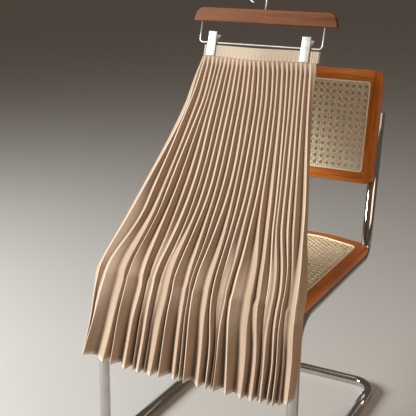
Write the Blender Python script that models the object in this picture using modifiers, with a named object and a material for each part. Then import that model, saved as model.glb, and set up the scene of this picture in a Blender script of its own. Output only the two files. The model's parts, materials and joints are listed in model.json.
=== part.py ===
"""A pleated A-line skirt on a clip hanger, laid over the front of a cantilever cane chair.

Metres, +Z up, the chair's front towards -Y. The skirt hangs by its waistband from the clips, its
pleats run forward and down to the seat's front edge, bend over it and hang to the hem.
Inside this file the sizes are taken from the chair: x = 0 is its middle, y = 0 its front legs.
"""

from math import cos, exp, pi, radians, sin, tan

import bmesh
import bpy
from mathutils import Matrix, Quaternion, Vector

MM = 0.001
GAP = 0.3 * MM

# Where the chair's middle and front legs stand in the part's frame, so that the whole part is centred
CHAIR_X = -4.0 * MM
CHAIR_Y = -256.4 * MM

# Chair: bent tube
TUBE_RADIUS = 11.25 * MM
TUBE_SIDES = 12
TUBE_SPACING = 433.0 * MM
FRAME_DEPTH = 563.0 * MM
SEAT_TUBE_Z = 408.8 * MM
POST_TOP_Z = 728.0 * MM
FRONT_BEND = 55.0 * MM
POST_BEND = 32.0 * MM
FLOOR_BEND = 48.0 * MM
FLOOR_JOINT_Y = 440.0 * MM
BEND_STEPS = 6

# Chair: seat
SEAT_TOP_Z = 437.0 * MM
SEAT_THICKNESS = 16.6 * MM
SEAT_HALF_WIDTH = 229.8 * MM
SEAT_FRONT_Y = -17.0 * MM
SEAT_SIDE_REAR_Y = 404.0 * MM
SEAT_REAR_BOW = 30.0 * MM
SEAT_CORNER = 32.0 * MM
SEAT_BOW_RADIUS = 128.0 * MM
SEAT_BOW_SHARE = 0.55
RAIL_WIDTH = 27.0 * MM
CANE_THICKNESS = 3.0 * MM
CANE_DROP = 1.5 * MM
EDGE_ROUNDING = 4.0 * MM
# How much smaller an inner outline's corner radius is, as a share of its inset
INNER_CORNER_SHARE = 0.6

# Chair: back
BACK_RECLINE = radians(7.3)
BACK_FRONT_Y = 429.0 * MM
BACK_TOP_Z = 821.0 * MM
BACK_HEIGHT = 247.0 * MM
BACK_HALF_WIDTH = 222.5 * MM
BACK_THICKNESS = 20.0 * MM
BACK_CORNER = 18.0 * MM

# Hanger, in a frame that stands on the waist seam and leans back by HANGER_TILT
HANGER_TILT = radians(15.0)
BAR_X = -22.5 * MM
BAR_LENGTH = 336.0 * MM
BAR_BOTTOM = 76.0 * MM
BAR_HEIGHT = 30.0 * MM
BAR_THICKNESS = 13.0 * MM
BAR_END_SLANT = 8.0 * MM
BAR_FOOT_RADIUS = 2.0 * MM
BAR_SHOULDER_RADIUS = 18.0 * MM
BAR_ROUNDING = 3.5 * MM
WIRE_RADIUS = 1.6 * MM
WIRE_Z = 30.0 * MM
WIRE_LEFT_X = -171.0 * MM
WIRE_RIGHT_X = 117.0 * MM
WIRE_BEND = 8.0 * MM
HOOK_RADIUS = 1.8 * MM
HOOK_SHANK = 34.0 * MM
HOOK_BEND = 22.0 * MM
HOOK_SWEEP = radians(250.0)

# Clips on the wire
CLIP_LEFT_X = -139.0 * MM
CLIP_RIGHT_X = 81.5 * MM
CLIP_WIDTH = 19.5 * MM
CLIP_BOTTOM = 0.5 * MM
CLIP_TOP = 54.0 * MM
CLIP_PLATE = 1.8 * MM
CLIP_ROUNDING = 0.6 * MM
CLIP_HOLD = 11.7 * MM
LEVER_TOP = 50.0 * MM
LEVER_FLARE = 17.0 * MM
SPRING_LENGTH = 13.0 * MM
SPRING_WALL = 0.7 * MM

# Waistband
BAND_HEIGHT = 24.5 * MM
BAND_WALL = 2.2 * MM
BAND_CENTRE = 1.4 * MM
BAND_LEFT_X = -156.5 * MM
BAND_RIGHT_X = 112.5 * MM
BAND_SEAM_X = 92.5 * MM
BAND_STEP = 4.5 * MM
BAND_MITRE = 3.0 * MM
RIB_PITCH = 4.5 * MM
RIB_HEIGHT = 0.45 * MM
BOW_FRONT = 9.0 * MM
BOW_BACK = 4.0 * MM
BAND_SAG = 5.0 * MM
BOW_FADE = 150.0 * MM

# Skirt: lengths measured down the middle of the tube of cloth
CLOTH = 1.2 * MM
LONGEST_MITRE = 2.4 * MM
STEEPEST_MITRE = 0.05
HIP_RADIUS = 60.0 * MM
SLOPE_TILT = radians(43.2)
SLOPE_LENGTH = 499.0 * MM
DROP_LENGTH = 178.0 * MM
SIDE_LEVEL = 0.5
SIDE_TURN = 1.6 * MM
SIDE_TURN_SHARE = 0.6
SEAM_INSET_RIGHT = 8.0 * MM
BACK_INSET_RIGHT = 12.0 * MM
LEAN_SHARE = 0.56
DEPTH_SHARE_WAIST = 0.36
DEPTH_SHARE_THIGH = 0.50
LEAST_FACE = 2.0

# How far the folds stand out from the tube's middle, down the skirt, in mm
DEPTHS = (
    # down, front_crest, back_crest, floor
    (0, 1.9, 1.9, 0.9),
    (12, 4.4, 3.8, 1.3),
    (30, 7.0, 5.5, 1.8),
    (80, 9.5, 7.5, 2.4),
    (130, 11.0, 8.5, 3.0),
    (380, 16.0, 12.0, 4.0),
    (530, 22.5, 16.5, 5.0),
    (740, 22.5, 16.5, 5.0),
)

# How deep the loose folds are down the skirt, as a share of the depth each is given
LOOSE_DEPTHS = (
    # down, share
    (380, 0.9),
    (500, 0.75),
    (560, 0.85),
    (620, 1.25),
    (721, 1.6),
)

# The front crests sink where the cloth turns over the seat's edge, so that it turns softly, in mm
TURN_MIDDLE = 535.8
TURN_HALF = 7.2
TURN_REACH = 49.7
TURN_RADIUS = 150.0
TURN_PEAK = 2.2

# Places down the skirt, in mm, for which the folds are given, and the sections cut through its
# slope and its drop, as shares of their lengths. The bends over the hip and the seat's edge have more
WAIST, HIP, THIGH, EDGE, FALL, HEM = 0, 130, 380, 536, 620, 721
SLOPE_SHARES = (0.08, 0.20, 0.36, 0.54, 0.70, 0.86, 0.93, 0.97)
DROP_SHARES = (0.1, 0.22, 0.43, 0.7, 1.0)
BEND_SPANS = 3

# Where each fold's ridge runs, in mm from the chair's middle; the waist is evenly pitched.
# From the seat's edge down, rise is the width of the face that climbs to the ridge from the valley
# on its left, depth is how far that valley lies below the crests, and tucked how far the ridge does
WAIST_FIRST = -152.0
WAIST_PITCH = 10.375
FOLDS = (
    # hip, thigh, edge, fall, hem, rise, depth, tucked
    (-141, -141, -172, -195, -225, 12, 13, 0),
    (-124, -119, -130, -150, -176, 21, 10, 0),
    (-112, -109, -121, -140, -158, 4, 15, 0),
    (-103, -90, -88, -106, -124, 16, 14, 0),
    (-92, -70, -78, -92, -108, 6, 16, 7),
    (-82, -54, -61, -75, -92, 11, 10, 0),
    (-69, -41, -50, -65, -82, 5, 12, 7),
    (-57, -28, -28, -44, -63, 18, 8, 0),
    (-45, -15, -19, -31, -44, 7, 14, 0),
    (-33, 1, 9, 1, -8, 15, 15, 0),
    (-21, 13, 17, 10, 2, 4, 15, 0),
    (-9, 28, 26, 20, 12, 6, 10, 0),
    (3, 44, 57, 52, 44, 17, 13, 0),
    (15, 55, 66, 68, 61, 8, 14, 0),
    (26, 68, 75, 77, 69, 4, 14, 7),
    (37, 81, 94, 86, 77, 6, 9, 0),
    (48, 94, 106, 105, 104, 11, 14, 0),
    (58, 110, 144, 143, 136, 19, 11, 0),
    (70, 128, 160, 164, 158, 14, 10, 0),
    (80, 139, 172, 173, 167, 4, 13, 7),
    (89, 146, 186, 182, 176, 8, 6, 0),
    (99, 157, 198, 198, 189, 9, 12, 0),
    (108, 169, 206, 206, 200, 4, 13, 0),
    (118, 180, 215, 216, 211, 5, 10, 6),
    (131, 199, 232, 234, 230, 14, 9, 0),
)
SIDES = (
    # waist, hip, thigh, edge, fall, hem
    (-156, -157, -181, -203, -216, -240),
    (109, 138, 205, 246, 247, 238),
)
LAST_RISE, LAST_DEPTH = 8, 15

# How much longer the cloth hangs than its level hem, across the skirt, in mm
HEM_DROPS = (
    # x, drop
    (-245, 16),
    (-225, 0),
    (-176, 5),
    (-100, 9),
    (0, 2),
    (60, 4),
    (205, 1),
    (235, -12),
    (255, -13),
)


def clear_scene():
    for item in list(bpy.data.objects):
        bpy.data.objects.remove(item, do_unlink=True)


def collection(name):
    group = bpy.data.collections.new(name)
    bpy.context.scene.collection.children.link(group)
    return group


def material(name, colour, roughness, metallic=0.0):
    finish = bpy.data.materials.new(name)
    finish.use_nodes = True
    shader = finish.node_tree.nodes["Principled BSDF"]
    shader.inputs["Base Color"].default_value = (*colour, 1.0)
    shader.inputs["Roughness"].default_value = roughness
    shader.inputs["Metallic"].default_value = metallic
    return finish


def add(name, data, finish, parent, group):
    """An object of the part, parented to its datum."""
    data.materials.append(finish)
    item = bpy.data.objects.new(name, data)
    group.objects.link(item)
    item.parent = parent
    return item


def bevel(item, width, segments=2):
    edge = item.modifiers.new("edges", "BEVEL")
    edge.width = width
    edge.segments = segments
    edge.limit_method = "ANGLE"
    edge.angle_limit = radians(40)


def rounded_path(corners, radii, steps=BEND_STEPS):
    """A polyline through the corners, each inner corner replaced by an arc of its radius."""
    path = [Vector(corners[0])]
    for before, corner, after, radius in zip(corners, corners[1:], corners[2:], radii):
        corner = Vector(corner)
        back = (Vector(before) - corner).normalized()
        ahead = (Vector(after) - corner).normalized()
        half = back.angle(ahead) / 2
        centre = corner + (back + ahead).normalized() * radius / sin(half)
        start = corner + back * radius / tan(half) - centre
        end = corner + ahead * radius / tan(half) - centre
        turn = start.rotation_difference(end)
        for step in range(steps + 1):
            path.append(centre + Quaternion().slerp(turn, step / steps) @ start)
    path.append(Vector(corners[-1]))
    return path


def tube(name, path, radius, finish, parent, group, resolution=4, turned=0.0):
    """A round bar along a path; turned is how far its facets are turned about it."""
    curve = bpy.data.curves.new(name, "CURVE")
    curve.dimensions = "3D"
    curve.bevel_depth = radius
    curve.bevel_resolution = resolution
    curve.use_fill_caps = True
    spline = curve.splines.new("POLY")
    spline.points.add(len(path) - 1)
    for point, place in zip(spline.points, path):
        point.co = (*place, 1.0)
        point.tilt = turned
    return add(name, curve, finish, parent, group)


def closed_mesh(item):
    """The mesh of a curve object with its caps welded on; the curve itself is removed."""
    depsgraph = bpy.context.evaluated_depsgraph_get()
    mesh = bpy.data.meshes.new_from_object(item.evaluated_get(depsgraph))
    name = item.name
    bpy.data.objects.remove(item, do_unlink=True)
    cage = bmesh.new()
    cage.from_mesh(mesh)
    bmesh.ops.remove_doubles(cage, verts=cage.verts, dist=0.01 * MM)
    bmesh.ops.recalc_face_normals(cage, faces=cage.faces)
    cage.to_mesh(mesh)
    cage.free()
    mesh.materials.clear()
    mesh.name = name
    return mesh


def plate(name, outlines, thickness, finish, parent, group):
    """A flat plate of one outline, or a frame of an outer and an inner one, as a mesh in XY."""
    curve = bpy.data.curves.new(name, "CURVE")
    curve.dimensions = "2D"
    curve.fill_mode = "BOTH"
    curve.extrude = thickness / 2
    for outline in outlines:
        spline = curve.splines.new("POLY")
        spline.points.add(len(outline) - 1)
        for point, (x, y) in zip(spline.points, outline):
            point.co = (x, y, 0.0, 1.0)
        spline.use_cyclic_u = True
    flat = bpy.data.objects.new(name, curve)
    group.objects.link(flat)
    return add(name, closed_mesh(flat), finish, parent, group)


def rounded_outline(corners, radius, steps=5):
    """A closed outline in XY whose corners are arcs; radius is one size, or one for each corner."""
    radii = radius if isinstance(radius, (list, tuple)) else [radius] * len(corners)
    flat = [Vector((x, y, 0.0)) for x, y in corners]
    outline = []
    for index, corner in enumerate(flat):
        trio = [flat[index - 1], corner, flat[(index + 1) % len(flat)]]
        arc = rounded_path(trio, [radii[index]], steps)[1:-1]
        outline += [(point.x, point.y) for point in arc]
    return outline


def seat_outline(inset):
    """The seat from above: straight front and sides, rounded corners, a bowed rear."""
    half = SEAT_HALF_WIDTH - inset
    front = SEAT_FRONT_Y + inset
    rear = SEAT_SIDE_REAR_Y - inset
    bowed = half * SEAT_BOW_SHARE
    corners = [(-half, front), (half, front), (half, rear), (bowed, rear + SEAT_REAR_BOW),
               (-bowed, rear + SEAT_REAR_BOW), (-half, rear)]
    near = SEAT_CORNER - inset * INNER_CORNER_SHARE
    return rounded_outline(corners, [near, near, near, SEAT_BOW_RADIUS, SEAT_BOW_RADIUS, near])


def back_outline(inset):
    half = BACK_HALF_WIDTH - inset
    corners = [(-half, inset), (half, inset), (half, BACK_HEIGHT - inset), (-half, BACK_HEIGHT - inset)]
    return rounded_outline(corners, BACK_CORNER - inset * INNER_CORNER_SHARE)


def build_chair(datum, group, cutters):
    chrome = material("chrome", (0.62, 0.61, 0.60), 0.12, 1.0)
    wood = material("chair_wood", (0.38, 0.13, 0.04), 0.35)
    cane = material("cane", (0.72, 0.58, 0.38), 0.6)

    facet = pi / TUBE_SIDES
    floor_z = TUBE_RADIUS * cos(facet)
    back_up = Vector((0.0, sin(BACK_RECLINE), cos(BACK_RECLINE)))
    back_out = Vector((0.0, -cos(BACK_RECLINE), sin(BACK_RECLINE)))
    back_top = Vector((0.0, BACK_FRONT_Y, BACK_TOP_Z))
    post_line = back_top - back_out * (BACK_THICKNESS + GAP + TUBE_RADIUS)

    def post_at(z):
        return post_line + back_up * (z - post_line.z) / back_up.z

    notches = []
    for side, name in ((-1, "tube_left"), (1, "tube_right")):
        x = Vector((side * TUBE_SPACING / 2, 0.0, 0.0))
        corners = [x + post_at(POST_TOP_Z), x + post_at(SEAT_TUBE_Z),
                   x + Vector((0.0, 0.0, SEAT_TUBE_Z)), x + Vector((0.0, 0.0, floor_z)),
                   x + Vector((0.0, FLOOR_JOINT_Y, floor_z))]
        path = rounded_path(corners, [POST_BEND, FRONT_BEND, FRONT_BEND])
        tube(name, path, TUBE_RADIUS, chrome, datum, group, turned=facet)
        # the seat's rear corner is hollowed round the tube's upward bend
        bent = path[:BEND_STEPS + 3]
        notch = tube(name + "_clearance", bent, TUBE_RADIUS + GAP, chrome, None, cutters, turned=facet)
        notches.append(bpy.data.objects.new(name + "_notch", closed_mesh(notch)))

    half = TUBE_SPACING / 2
    joint = FLOOR_JOINT_Y + GAP
    corners = [(-half, joint, floor_z), (-half, FRAME_DEPTH, floor_z), (half, FRAME_DEPTH, floor_z),
               (half, joint, floor_z)]
    path = rounded_path(corners, [FLOOR_BEND] * 2)
    tube("tube_floor", path, TUBE_RADIUS, chrome, datum, group, turned=facet)

    outlines = [seat_outline(0.0), seat_outline(RAIL_WIDTH)]
    seat = plate("seat_frame", outlines, SEAT_THICKNESS, wood, datum, group)
    seat.location.z = SEAT_TOP_Z - SEAT_THICKNESS / 2
    bevel(seat, EDGE_ROUNDING)
    for notch in notches:
        cutters.objects.link(notch)
        notch.parent = datum
        notch.hide_render = True
        notch.display_type = "WIRE"
        cut = seat.modifiers.new("notch", "BOOLEAN")
        cut.object = notch
    webbing = plate("seat_cane", [seat_outline(RAIL_WIDTH + GAP)], CANE_THICKNESS, cane, datum, group)
    webbing.location.z = SEAT_TOP_Z - CANE_DROP - CANE_THICKNESS / 2

    tilt = pi / 2 - BACK_RECLINE
    corner = back_top - back_up * BACK_HEIGHT
    outlines = [back_outline(0.0), back_outline(RAIL_WIDTH)]
    frame = plate("back_frame", outlines, BACK_THICKNESS, wood, datum, group)
    frame.location = corner - back_out * BACK_THICKNESS / 2
    frame.rotation_euler.x = tilt
    bevel(frame, EDGE_ROUNDING)
    webbing = plate("back_cane", [back_outline(RAIL_WIDTH + GAP)], CANE_THICKNESS, cane, datum, group)
    webbing.location = corner - back_out * (CANE_DROP + CANE_THICKNESS / 2)
    webbing.rotation_euler.x = tilt


def bar_outline():
    """The wooden bar from the front: flat bottom, ends that slope in to a rounded top."""
    half = BAR_LENGTH / 2
    top = BAR_BOTTOM + BAR_HEIGHT
    corners = [(BAR_X - half, BAR_BOTTOM), (BAR_X + half, BAR_BOTTOM), (BAR_X + half - BAR_END_SLANT, top),
               (BAR_X - half + BAR_END_SLANT, top)]
    return rounded_outline(corners, [BAR_FOOT_RADIUS] * 2 + [BAR_SHOULDER_RADIUS] * 2, 6)


def build_hanger(rig, group):
    """The hanger in the rig's frame: x along the bar, z up it, -y to its front."""
    wood = material("hanger_wood", (0.20, 0.08, 0.05), 0.3)
    wire = material("wire", (0.70, 0.69, 0.66), 0.25, 1.0)
    steel = material("clip_steel", (0.86, 0.86, 0.84), 0.3, 0.6)

    bar = plate("hanger_bar", [bar_outline()], BAR_THICKNESS, wood, rig, group)
    bar.rotation_euler.x = pi / 2
    bevel(bar, BAR_ROUNDING, 3)

    ends = BAR_BOTTOM - GAP
    corners = [(WIRE_LEFT_X, 0.0, ends), (WIRE_LEFT_X, 0.0, WIRE_Z), (WIRE_RIGHT_X, 0.0, WIRE_Z),
               (WIRE_RIGHT_X, 0.0, ends)]
    tube("hanger_wire", rounded_path(corners, [WIRE_BEND] * 2, 4), WIRE_RADIUS, wire, rig, group, 2)

    foot = BAR_BOTTOM + BAR_HEIGHT + GAP
    shank = foot + HOOK_SHANK
    arc_steps = 14
    path = [Vector((BAR_X, 0.0, foot)), Vector((BAR_X, 0.0, shank))]
    centre = Vector((BAR_X - HOOK_BEND, 0.0, shank + 2 * MM))
    for step in range(arc_steps + 1):
        angle = HOOK_SWEEP * step / arc_steps
        path.append(centre + HOOK_BEND * Vector((cos(angle), 0.0, sin(angle))))
    tube("hanger_hook", path, HOOK_RADIUS, wire, rig, group, 2)

    for side, x in (("left", CLIP_LEFT_X), ("right", CLIP_RIGHT_X)):
        build_clip("clip_" + side, x, steel, wire, rig, group)


def build_clip(name, x, steel, wire, rig, group):
    """Front plate, back plate with its flared lever, and the spring on the wire between them."""
    jaw = BAND_CENTRE + BAND_WALL / 2 + GAP
    centre_z = (CLIP_BOTTOM + CLIP_TOP) / 2
    cage = bmesh.new()
    bmesh.ops.create_cube(cage, size=1.0)
    bmesh.ops.scale(cage, verts=cage.verts, vec=(CLIP_WIDTH, CLIP_PLATE, CLIP_TOP - CLIP_BOTTOM))
    mesh = bpy.data.meshes.new(name + "_front")
    cage.to_mesh(mesh)
    cage.free()
    front = add(name + "_front", mesh, steel, rig, group)
    front.location = (x, -jaw - CLIP_PLATE / 2, centre_z)
    bevel(front, CLIP_ROUNDING, 2)

    # the lever leaves the plate above the band, passes behind the wire and flares to the rear
    profile = [(jaw + RIB_HEIGHT, CLIP_BOTTOM), (jaw + RIB_HEIGHT, WIRE_Z + 4 * MM), (LEVER_FLARE, LEVER_TOP)]
    cage = bmesh.new()
    low = [cage.verts.new((x - CLIP_WIDTH / 2, y, z)) for y, z in profile]
    high = [cage.verts.new((x + CLIP_WIDTH / 2, y, z)) for y, z in profile]
    for index in range(len(profile) - 1):
        cage.faces.new((low[index], high[index], high[index + 1], low[index + 1]))
    mesh = bpy.data.meshes.new(name + "_back")
    cage.to_mesh(mesh)
    cage.free()
    lever = add(name + "_back", mesh, steel, rig, group)
    solid = lever.modifiers.new("plate", "SOLIDIFY")
    solid.thickness = CLIP_PLATE
    solid.offset = -1.0

    inner = WIRE_RADIUS + GAP
    cage = bmesh.new()
    start = x - SPRING_LENGTH / 2
    rim = []
    for radius in (inner, inner + SPRING_WALL):
        ring = bmesh.ops.create_circle(cage, segments=12, radius=radius)["verts"]
        bmesh.ops.rotate(cage, verts=ring, cent=(0, 0, 0), matrix=Matrix.Rotation(pi / 2, 3, "Y"))
        bmesh.ops.translate(cage, verts=ring, vec=(start, 0.0, WIRE_Z))
        rim += ring
    bmesh.ops.bridge_loops(cage, edges=cage.edges[:])
    wall = bmesh.ops.extrude_face_region(cage, geom=cage.faces[:])
    moved = [part for part in wall["geom"] if isinstance(part, bmesh.types.BMVert)]
    bmesh.ops.translate(cage, verts=moved, vec=(SPRING_LENGTH, 0.0, 0.0))
    bmesh.ops.recalc_face_normals(cage, faces=cage.faces)
    mesh = bpy.data.meshes.new(name + "_spring")
    cage.to_mesh(mesh)
    cage.free()
    add(name + "_spring", mesh, wire, rig, group)


def run(table, column, place):
    """The column's value at this place, read along the table's first column, in straight runs."""
    for low, high in zip(table, table[1:]):
        if place <= high[0]:
            share = max(0.0, (place - low[0]) / (high[0] - low[0]))
            return low[column] + (high[column] - low[column]) * share
    return table[-1][column]


def eased(stops, values, place):
    """A smooth curve through the values at the stops, with no overshoot."""
    last = len(stops) - 1
    if place >= stops[last]:
        return values[last]
    index = max(i for i in range(last) if stops[i] <= place)
    rises = [(b - a) / (t - s) for s, t, a, b in zip(stops, stops[1:], values, values[1:])]

    def slope(at):
        if at in (0, last):
            return rises[min(at, last - 1)]
        before, after = rises[at - 1], rises[at]
        return 0.0 if before * after <= 0 else 2 * before * after / (before + after)

    width = stops[index + 1] - stops[index]
    t = (place - stops[index]) / width
    return ((2 * t ** 3 - 3 * t ** 2 + 1) * values[index] + (t ** 3 - 2 * t ** 2 + t) * width * slope(index)
            + (3 * t ** 2 - 2 * t ** 3) * values[index + 1] + (t ** 3 - t ** 2) * width * slope(index + 1))


def open_share(x):
    """1 in the middle of the waist, where it hangs open, to 0 at the clips that close it."""
    left = CLIP_LEFT_X + CLIP_HOLD
    right = CLIP_RIGHT_X - CLIP_HOLD
    across = (2 * x - left - right) / (right - left)
    return 0.5 * (1 + cos(pi * across)) if abs(across) < 1 else 0.0


def edge_bend_radius():
    """The middle's bend over the seat's edge: the back folds lie on it, one wall and a gap away."""
    return DEPTHS[-1][2] * MM + LONGEST_MITRE + GAP


def bend_lengths():
    """Lengths of the middle over the hip and over the seat's edge."""
    return HIP_RADIUS * (SLOPE_TILT - HANGER_TILT), edge_bend_radius() * SLOPE_TILT


def waist_seam():
    """Place (y, z) of the waist seam: from the seat's edge up the slope and over the hip."""
    radius = edge_bend_radius()
    y = SEAT_FRONT_Y - radius * cos(SLOPE_TILT) + SLOPE_LENGTH * sin(SLOPE_TILT)
    z = SEAT_TOP_Z + radius * sin(SLOPE_TILT) + SLOPE_LENGTH * cos(SLOPE_TILT)
    return (y + HIP_RADIUS * (cos(HANGER_TILT) - cos(SLOPE_TILT)),
            z + HIP_RADIUS * (sin(SLOPE_TILT) - sin(HANGER_TILT)))


def middle_line(down):
    """Place (y, z) and tilt from the vertical of the skirt's middle, down from the waist seam."""
    hip_length, edge_length = bend_lengths()
    radius = edge_bend_radius()
    y, z = waist_seam()
    if down <= 0:
        return y - down * sin(HANGER_TILT), z - down * cos(HANGER_TILT), HANGER_TILT
    tilt = HANGER_TILT + min(down, hip_length) / HIP_RADIUS
    y += HIP_RADIUS * (cos(tilt) - cos(HANGER_TILT))
    z -= HIP_RADIUS * (sin(tilt) - sin(HANGER_TILT))
    down -= hip_length
    if down > 0:
        slope = min(down, SLOPE_LENGTH)
        y -= slope * sin(SLOPE_TILT)
        z -= slope * cos(SLOPE_TILT)
        down -= SLOPE_LENGTH
    if down > 0:
        tilt = SLOPE_TILT - min(down, edge_length) / radius
        y -= radius * (cos(tilt) - cos(SLOPE_TILT))
        z -= radius * (sin(SLOPE_TILT) - sin(tilt))
        down -= edge_length
    return y, z - max(0.0, down), tilt


def section_places():
    """Distances down at which the skirt's sections are taken, closer where it bends."""
    hip_length, edge_length = bend_lengths()
    knee = hip_length + SLOPE_LENGTH
    places = [GAP] + [hip_length * span / BEND_SPANS for span in range(1, BEND_SPANS + 1)]
    places += [hip_length + SLOPE_LENGTH * share for share in SLOPE_SHARES]
    places += [knee + edge_length * span / BEND_SPANS for span in range(BEND_SPANS + 1)]
    places += [knee + edge_length + DROP_LENGTH * share for share in DROP_SHARES]
    return places


def place(x, down, out):
    """The point at x, this far down the skirt and this far out of its middle, to the front."""
    fade = max(0.0, 1 - down / BOW_FADE) if down > 0 else 1 + down / (2 * BAND_HEIGHT)
    y, z, tilt = middle_line(down + BAND_SAG * open_share(x) * fade)
    return Vector((x, y - out * cos(tilt), z + out * sin(tilt)))


def pleat_lines(down):
    """Ridges and valleys at this distance down, in mm, as (ridge, its tuck, valley, its depth).

    The first and the last are the side folds. Each one's valley is the one on its left.
    """
    stops = (WAIST, HIP, THIGH, EDGE, FALL, HEM)
    left, right = (eased(stops, row, down) for row in SIDES)
    loose = min(1.0, max(0.0, (down - THIGH) / (EDGE - THIGH)))
    loose = loose * loose * (3 - 2 * loose)
    share = DEPTH_SHARE_WAIST + (DEPTH_SHARE_THIGH - DEPTH_SHARE_WAIST) * min(1.0, down / THIGH)
    deeper = run(LOOSE_DEPTHS, 1, down)
    rows = [(left, 0.0, None, None)]
    for index, fold in enumerate(FOLDS):
        ridge = eased(stops, (WAIST_FIRST + WAIST_PITCH * index, *fold[:5]), down)
        rows.append((ridge, fold[7] * loose, fold[5], fold[6]))
    rows.append((right, 0.0, LAST_RISE, LAST_DEPTH))
    lines = [rows[0]]
    for before, (ridge, tuck, rise, depth) in zip(rows, rows[1:]):
        pitch = ridge - before[0]
        reach = LEAN_SHARE * pitch * (1 - loose) + min(rise, pitch - LEAST_FACE) * loose
        lines.append((ridge, tuck, ridge - reach, share * pitch * (1 - loose) + depth * deeper * loose))
    return lines


def mirrored(lines, inset):
    """The same folds in the other order, from the same left side to a right side that is inset."""
    left, right = lines[0][0], lines[-1][0]
    span = (right - inset - left) / (right - left)

    def other(x):
        return left + (right - x) * span

    turned = [(left, 0.0, None, None)]
    for after, (ridge, tuck, valley, depth) in zip(lines[-2::-1], lines[:0:-1]):
        turned.append((other(after[0]), after[1], other(valley), depth))
    return turned


def turn_fall(down):
    """How far the front crests sink at this distance down, in mm."""
    away = abs(down - TURN_MIDDLE)
    if away >= TURN_REACH:
        return 0.0
    bowl = (TURN_REACH - max(away, TURN_HALF)) ** 2 / (2 * TURN_RADIUS)
    return bowl + TURN_PEAK * max(0.0, 1 - away / TURN_HALF)


def pleat_section(down, front):
    """One section of a pleated panel as (x, out): side seam, side fold, valleys and ridges, side."""
    lines = pleat_lines(down)
    hip_share = min(1.0, down / HIP)
    seam_right = lines[-1][0] - SEAM_INSET_RIGHT / MM * hip_share
    if not front:
        lines = mirrored(lines, BACK_INSET_RIGHT / MM * hip_share)
    crest = run(DEPTHS, 1, down) - turn_fall(down) if front else run(DEPTHS, 2, down)
    floor = run(DEPTHS, 3, down)
    side = crest * SIDE_LEVEL
    turn = min(SIDE_TURN / MM, side * SIDE_TURN_SHARE)
    bow = (BOW_FRONT if front else BOW_BACK) / MM * exp(-2 * down * MM / BOW_FADE)
    seam = GAP / MM / 2
    seam_left = lines[0][0] + SIDE_TURN / MM * hip_share
    section = [(seam_left, seam), (seam_left, turn), (lines[0][0], side)]
    for ridge, tuck, valley, depth in lines[1:]:
        section.append((valley, max(floor, crest - depth)))
        section.append((ridge, crest - tuck))
    section[-1] = (lines[-1][0], side)
    section += [(seam_right, turn), (seam_right, seam)]
    sign = 1 if front else -1
    return [(x * MM, sign * (out + bow * open_share(x * MM)) * MM) for x, out in section]


def beside(line, distance, limit=LONGEST_MITRE):
    """The line moved sideways in its plane, mitred at its corners up to a longest mitre."""
    points = [Vector(point) for point in line]
    moved = []
    for index, point in enumerate(points):
        ways = []
        if index > 0:
            ways.append((point - points[index - 1]).normalized())
        if index < len(points) - 1:
            ways.append((points[index + 1] - point).normalized())
        normals = [Vector((-way.y, way.x)) for way in ways]
        mitre = sum(normals, Vector((0.0, 0.0)))
        mitre.normalize()
        reach = min(limit, abs(distance) / max(STEEPEST_MITRE, mitre.dot(normals[0])))
        moved.append(point + mitre * reach * (1 if distance > 0 else -1))
    return moved


def wall(name, rows, finish, parent, group):
    """A closed wall of cloth: rows of (outer, inner) points, lofted one to the next."""
    cage = bmesh.new()
    rings = []
    for outer, inner in rows:
        rings.append([cage.verts.new(point) for point in (*outer, *reversed(inner))])
    count = len(rings[0])
    for upper, lower in zip(rings, rings[1:]):
        for index in range(count):
            after = (index + 1) % count
            cage.faces.new((upper[index], upper[after], lower[after], lower[index]))
    for ring in (rings[0], rings[-1]):
        for index in range(count // 2 - 1):
            cage.faces.new((ring[index], ring[index + 1], ring[-2 - index], ring[-1 - index]))
    bmesh.ops.recalc_face_normals(cage, faces=cage.faces)
    mesh = bpy.data.meshes.new(name)
    cage.to_mesh(mesh)
    cage.free()
    return add(name, mesh, finish, parent, group)


def build_skirt(datum, group):
    cloth = material("pleated_cloth", (0.55, 0.42, 0.30), 0.75)
    band = material("waistband_cloth", (0.58, 0.46, 0.34), 0.75)

    for name, front in (("skirt_front", True), ("skirt_back", False)):
        rows = []
        for down in section_places():
            line = pleat_section(down / MM, front)
            lower = max(0.0, (down / MM - EDGE) / (HEM - EDGE))
            row = []
            for distance in (CLOTH / 2, -CLOTH / 2):
                row.append([place(x, down + run(HEM_DROPS, 1, x / MM) * MM * lower, out)
                            for x, out in beside(line, distance)])
            rows.append(row)
        wall(name, rows, cloth, datum, group)

    steps = int((BAND_SEAM_X - BAND_LEFT_X) / BAND_STEP)
    line = []
    for step in range(steps + 1):
        x = BAND_LEFT_X + (BAND_SEAM_X - GAP - BAND_LEFT_X) * step / steps
        line.append((x, BAND_CENTRE + BOW_FRONT * open_share(x)))
    band_wall("waistband_front", line, 0.0, band, datum, group)

    # the elastic back, its ribs raised on the outside, wraps round the right side to the front
    steps = int((BAND_RIGHT_X - BAND_LEFT_X) / (RIB_PITCH / 2))
    line = []
    for step in range(steps + 1):
        x = BAND_LEFT_X + (BAND_RIGHT_X - BAND_LEFT_X) * step / steps
        line.append((x, -BAND_CENTRE - BOW_BACK * open_share(x)))
    turn_steps = 6
    for step in range(1, turn_steps):
        angle = pi * step / turn_steps
        line.append((BAND_RIGHT_X + BAND_CENTRE * sin(angle), -BAND_CENTRE * cos(angle)))
    back_steps = int((BAND_RIGHT_X - BAND_SEAM_X) / (RIB_PITCH / 2))
    for step in range(back_steps + 1):
        x = BAND_RIGHT_X + (BAND_SEAM_X - BAND_RIGHT_X) * step / back_steps
        line.append((x, BAND_CENTRE))
    band_wall("waistband_back", line, RIB_HEIGHT, band, datum, group)


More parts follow.
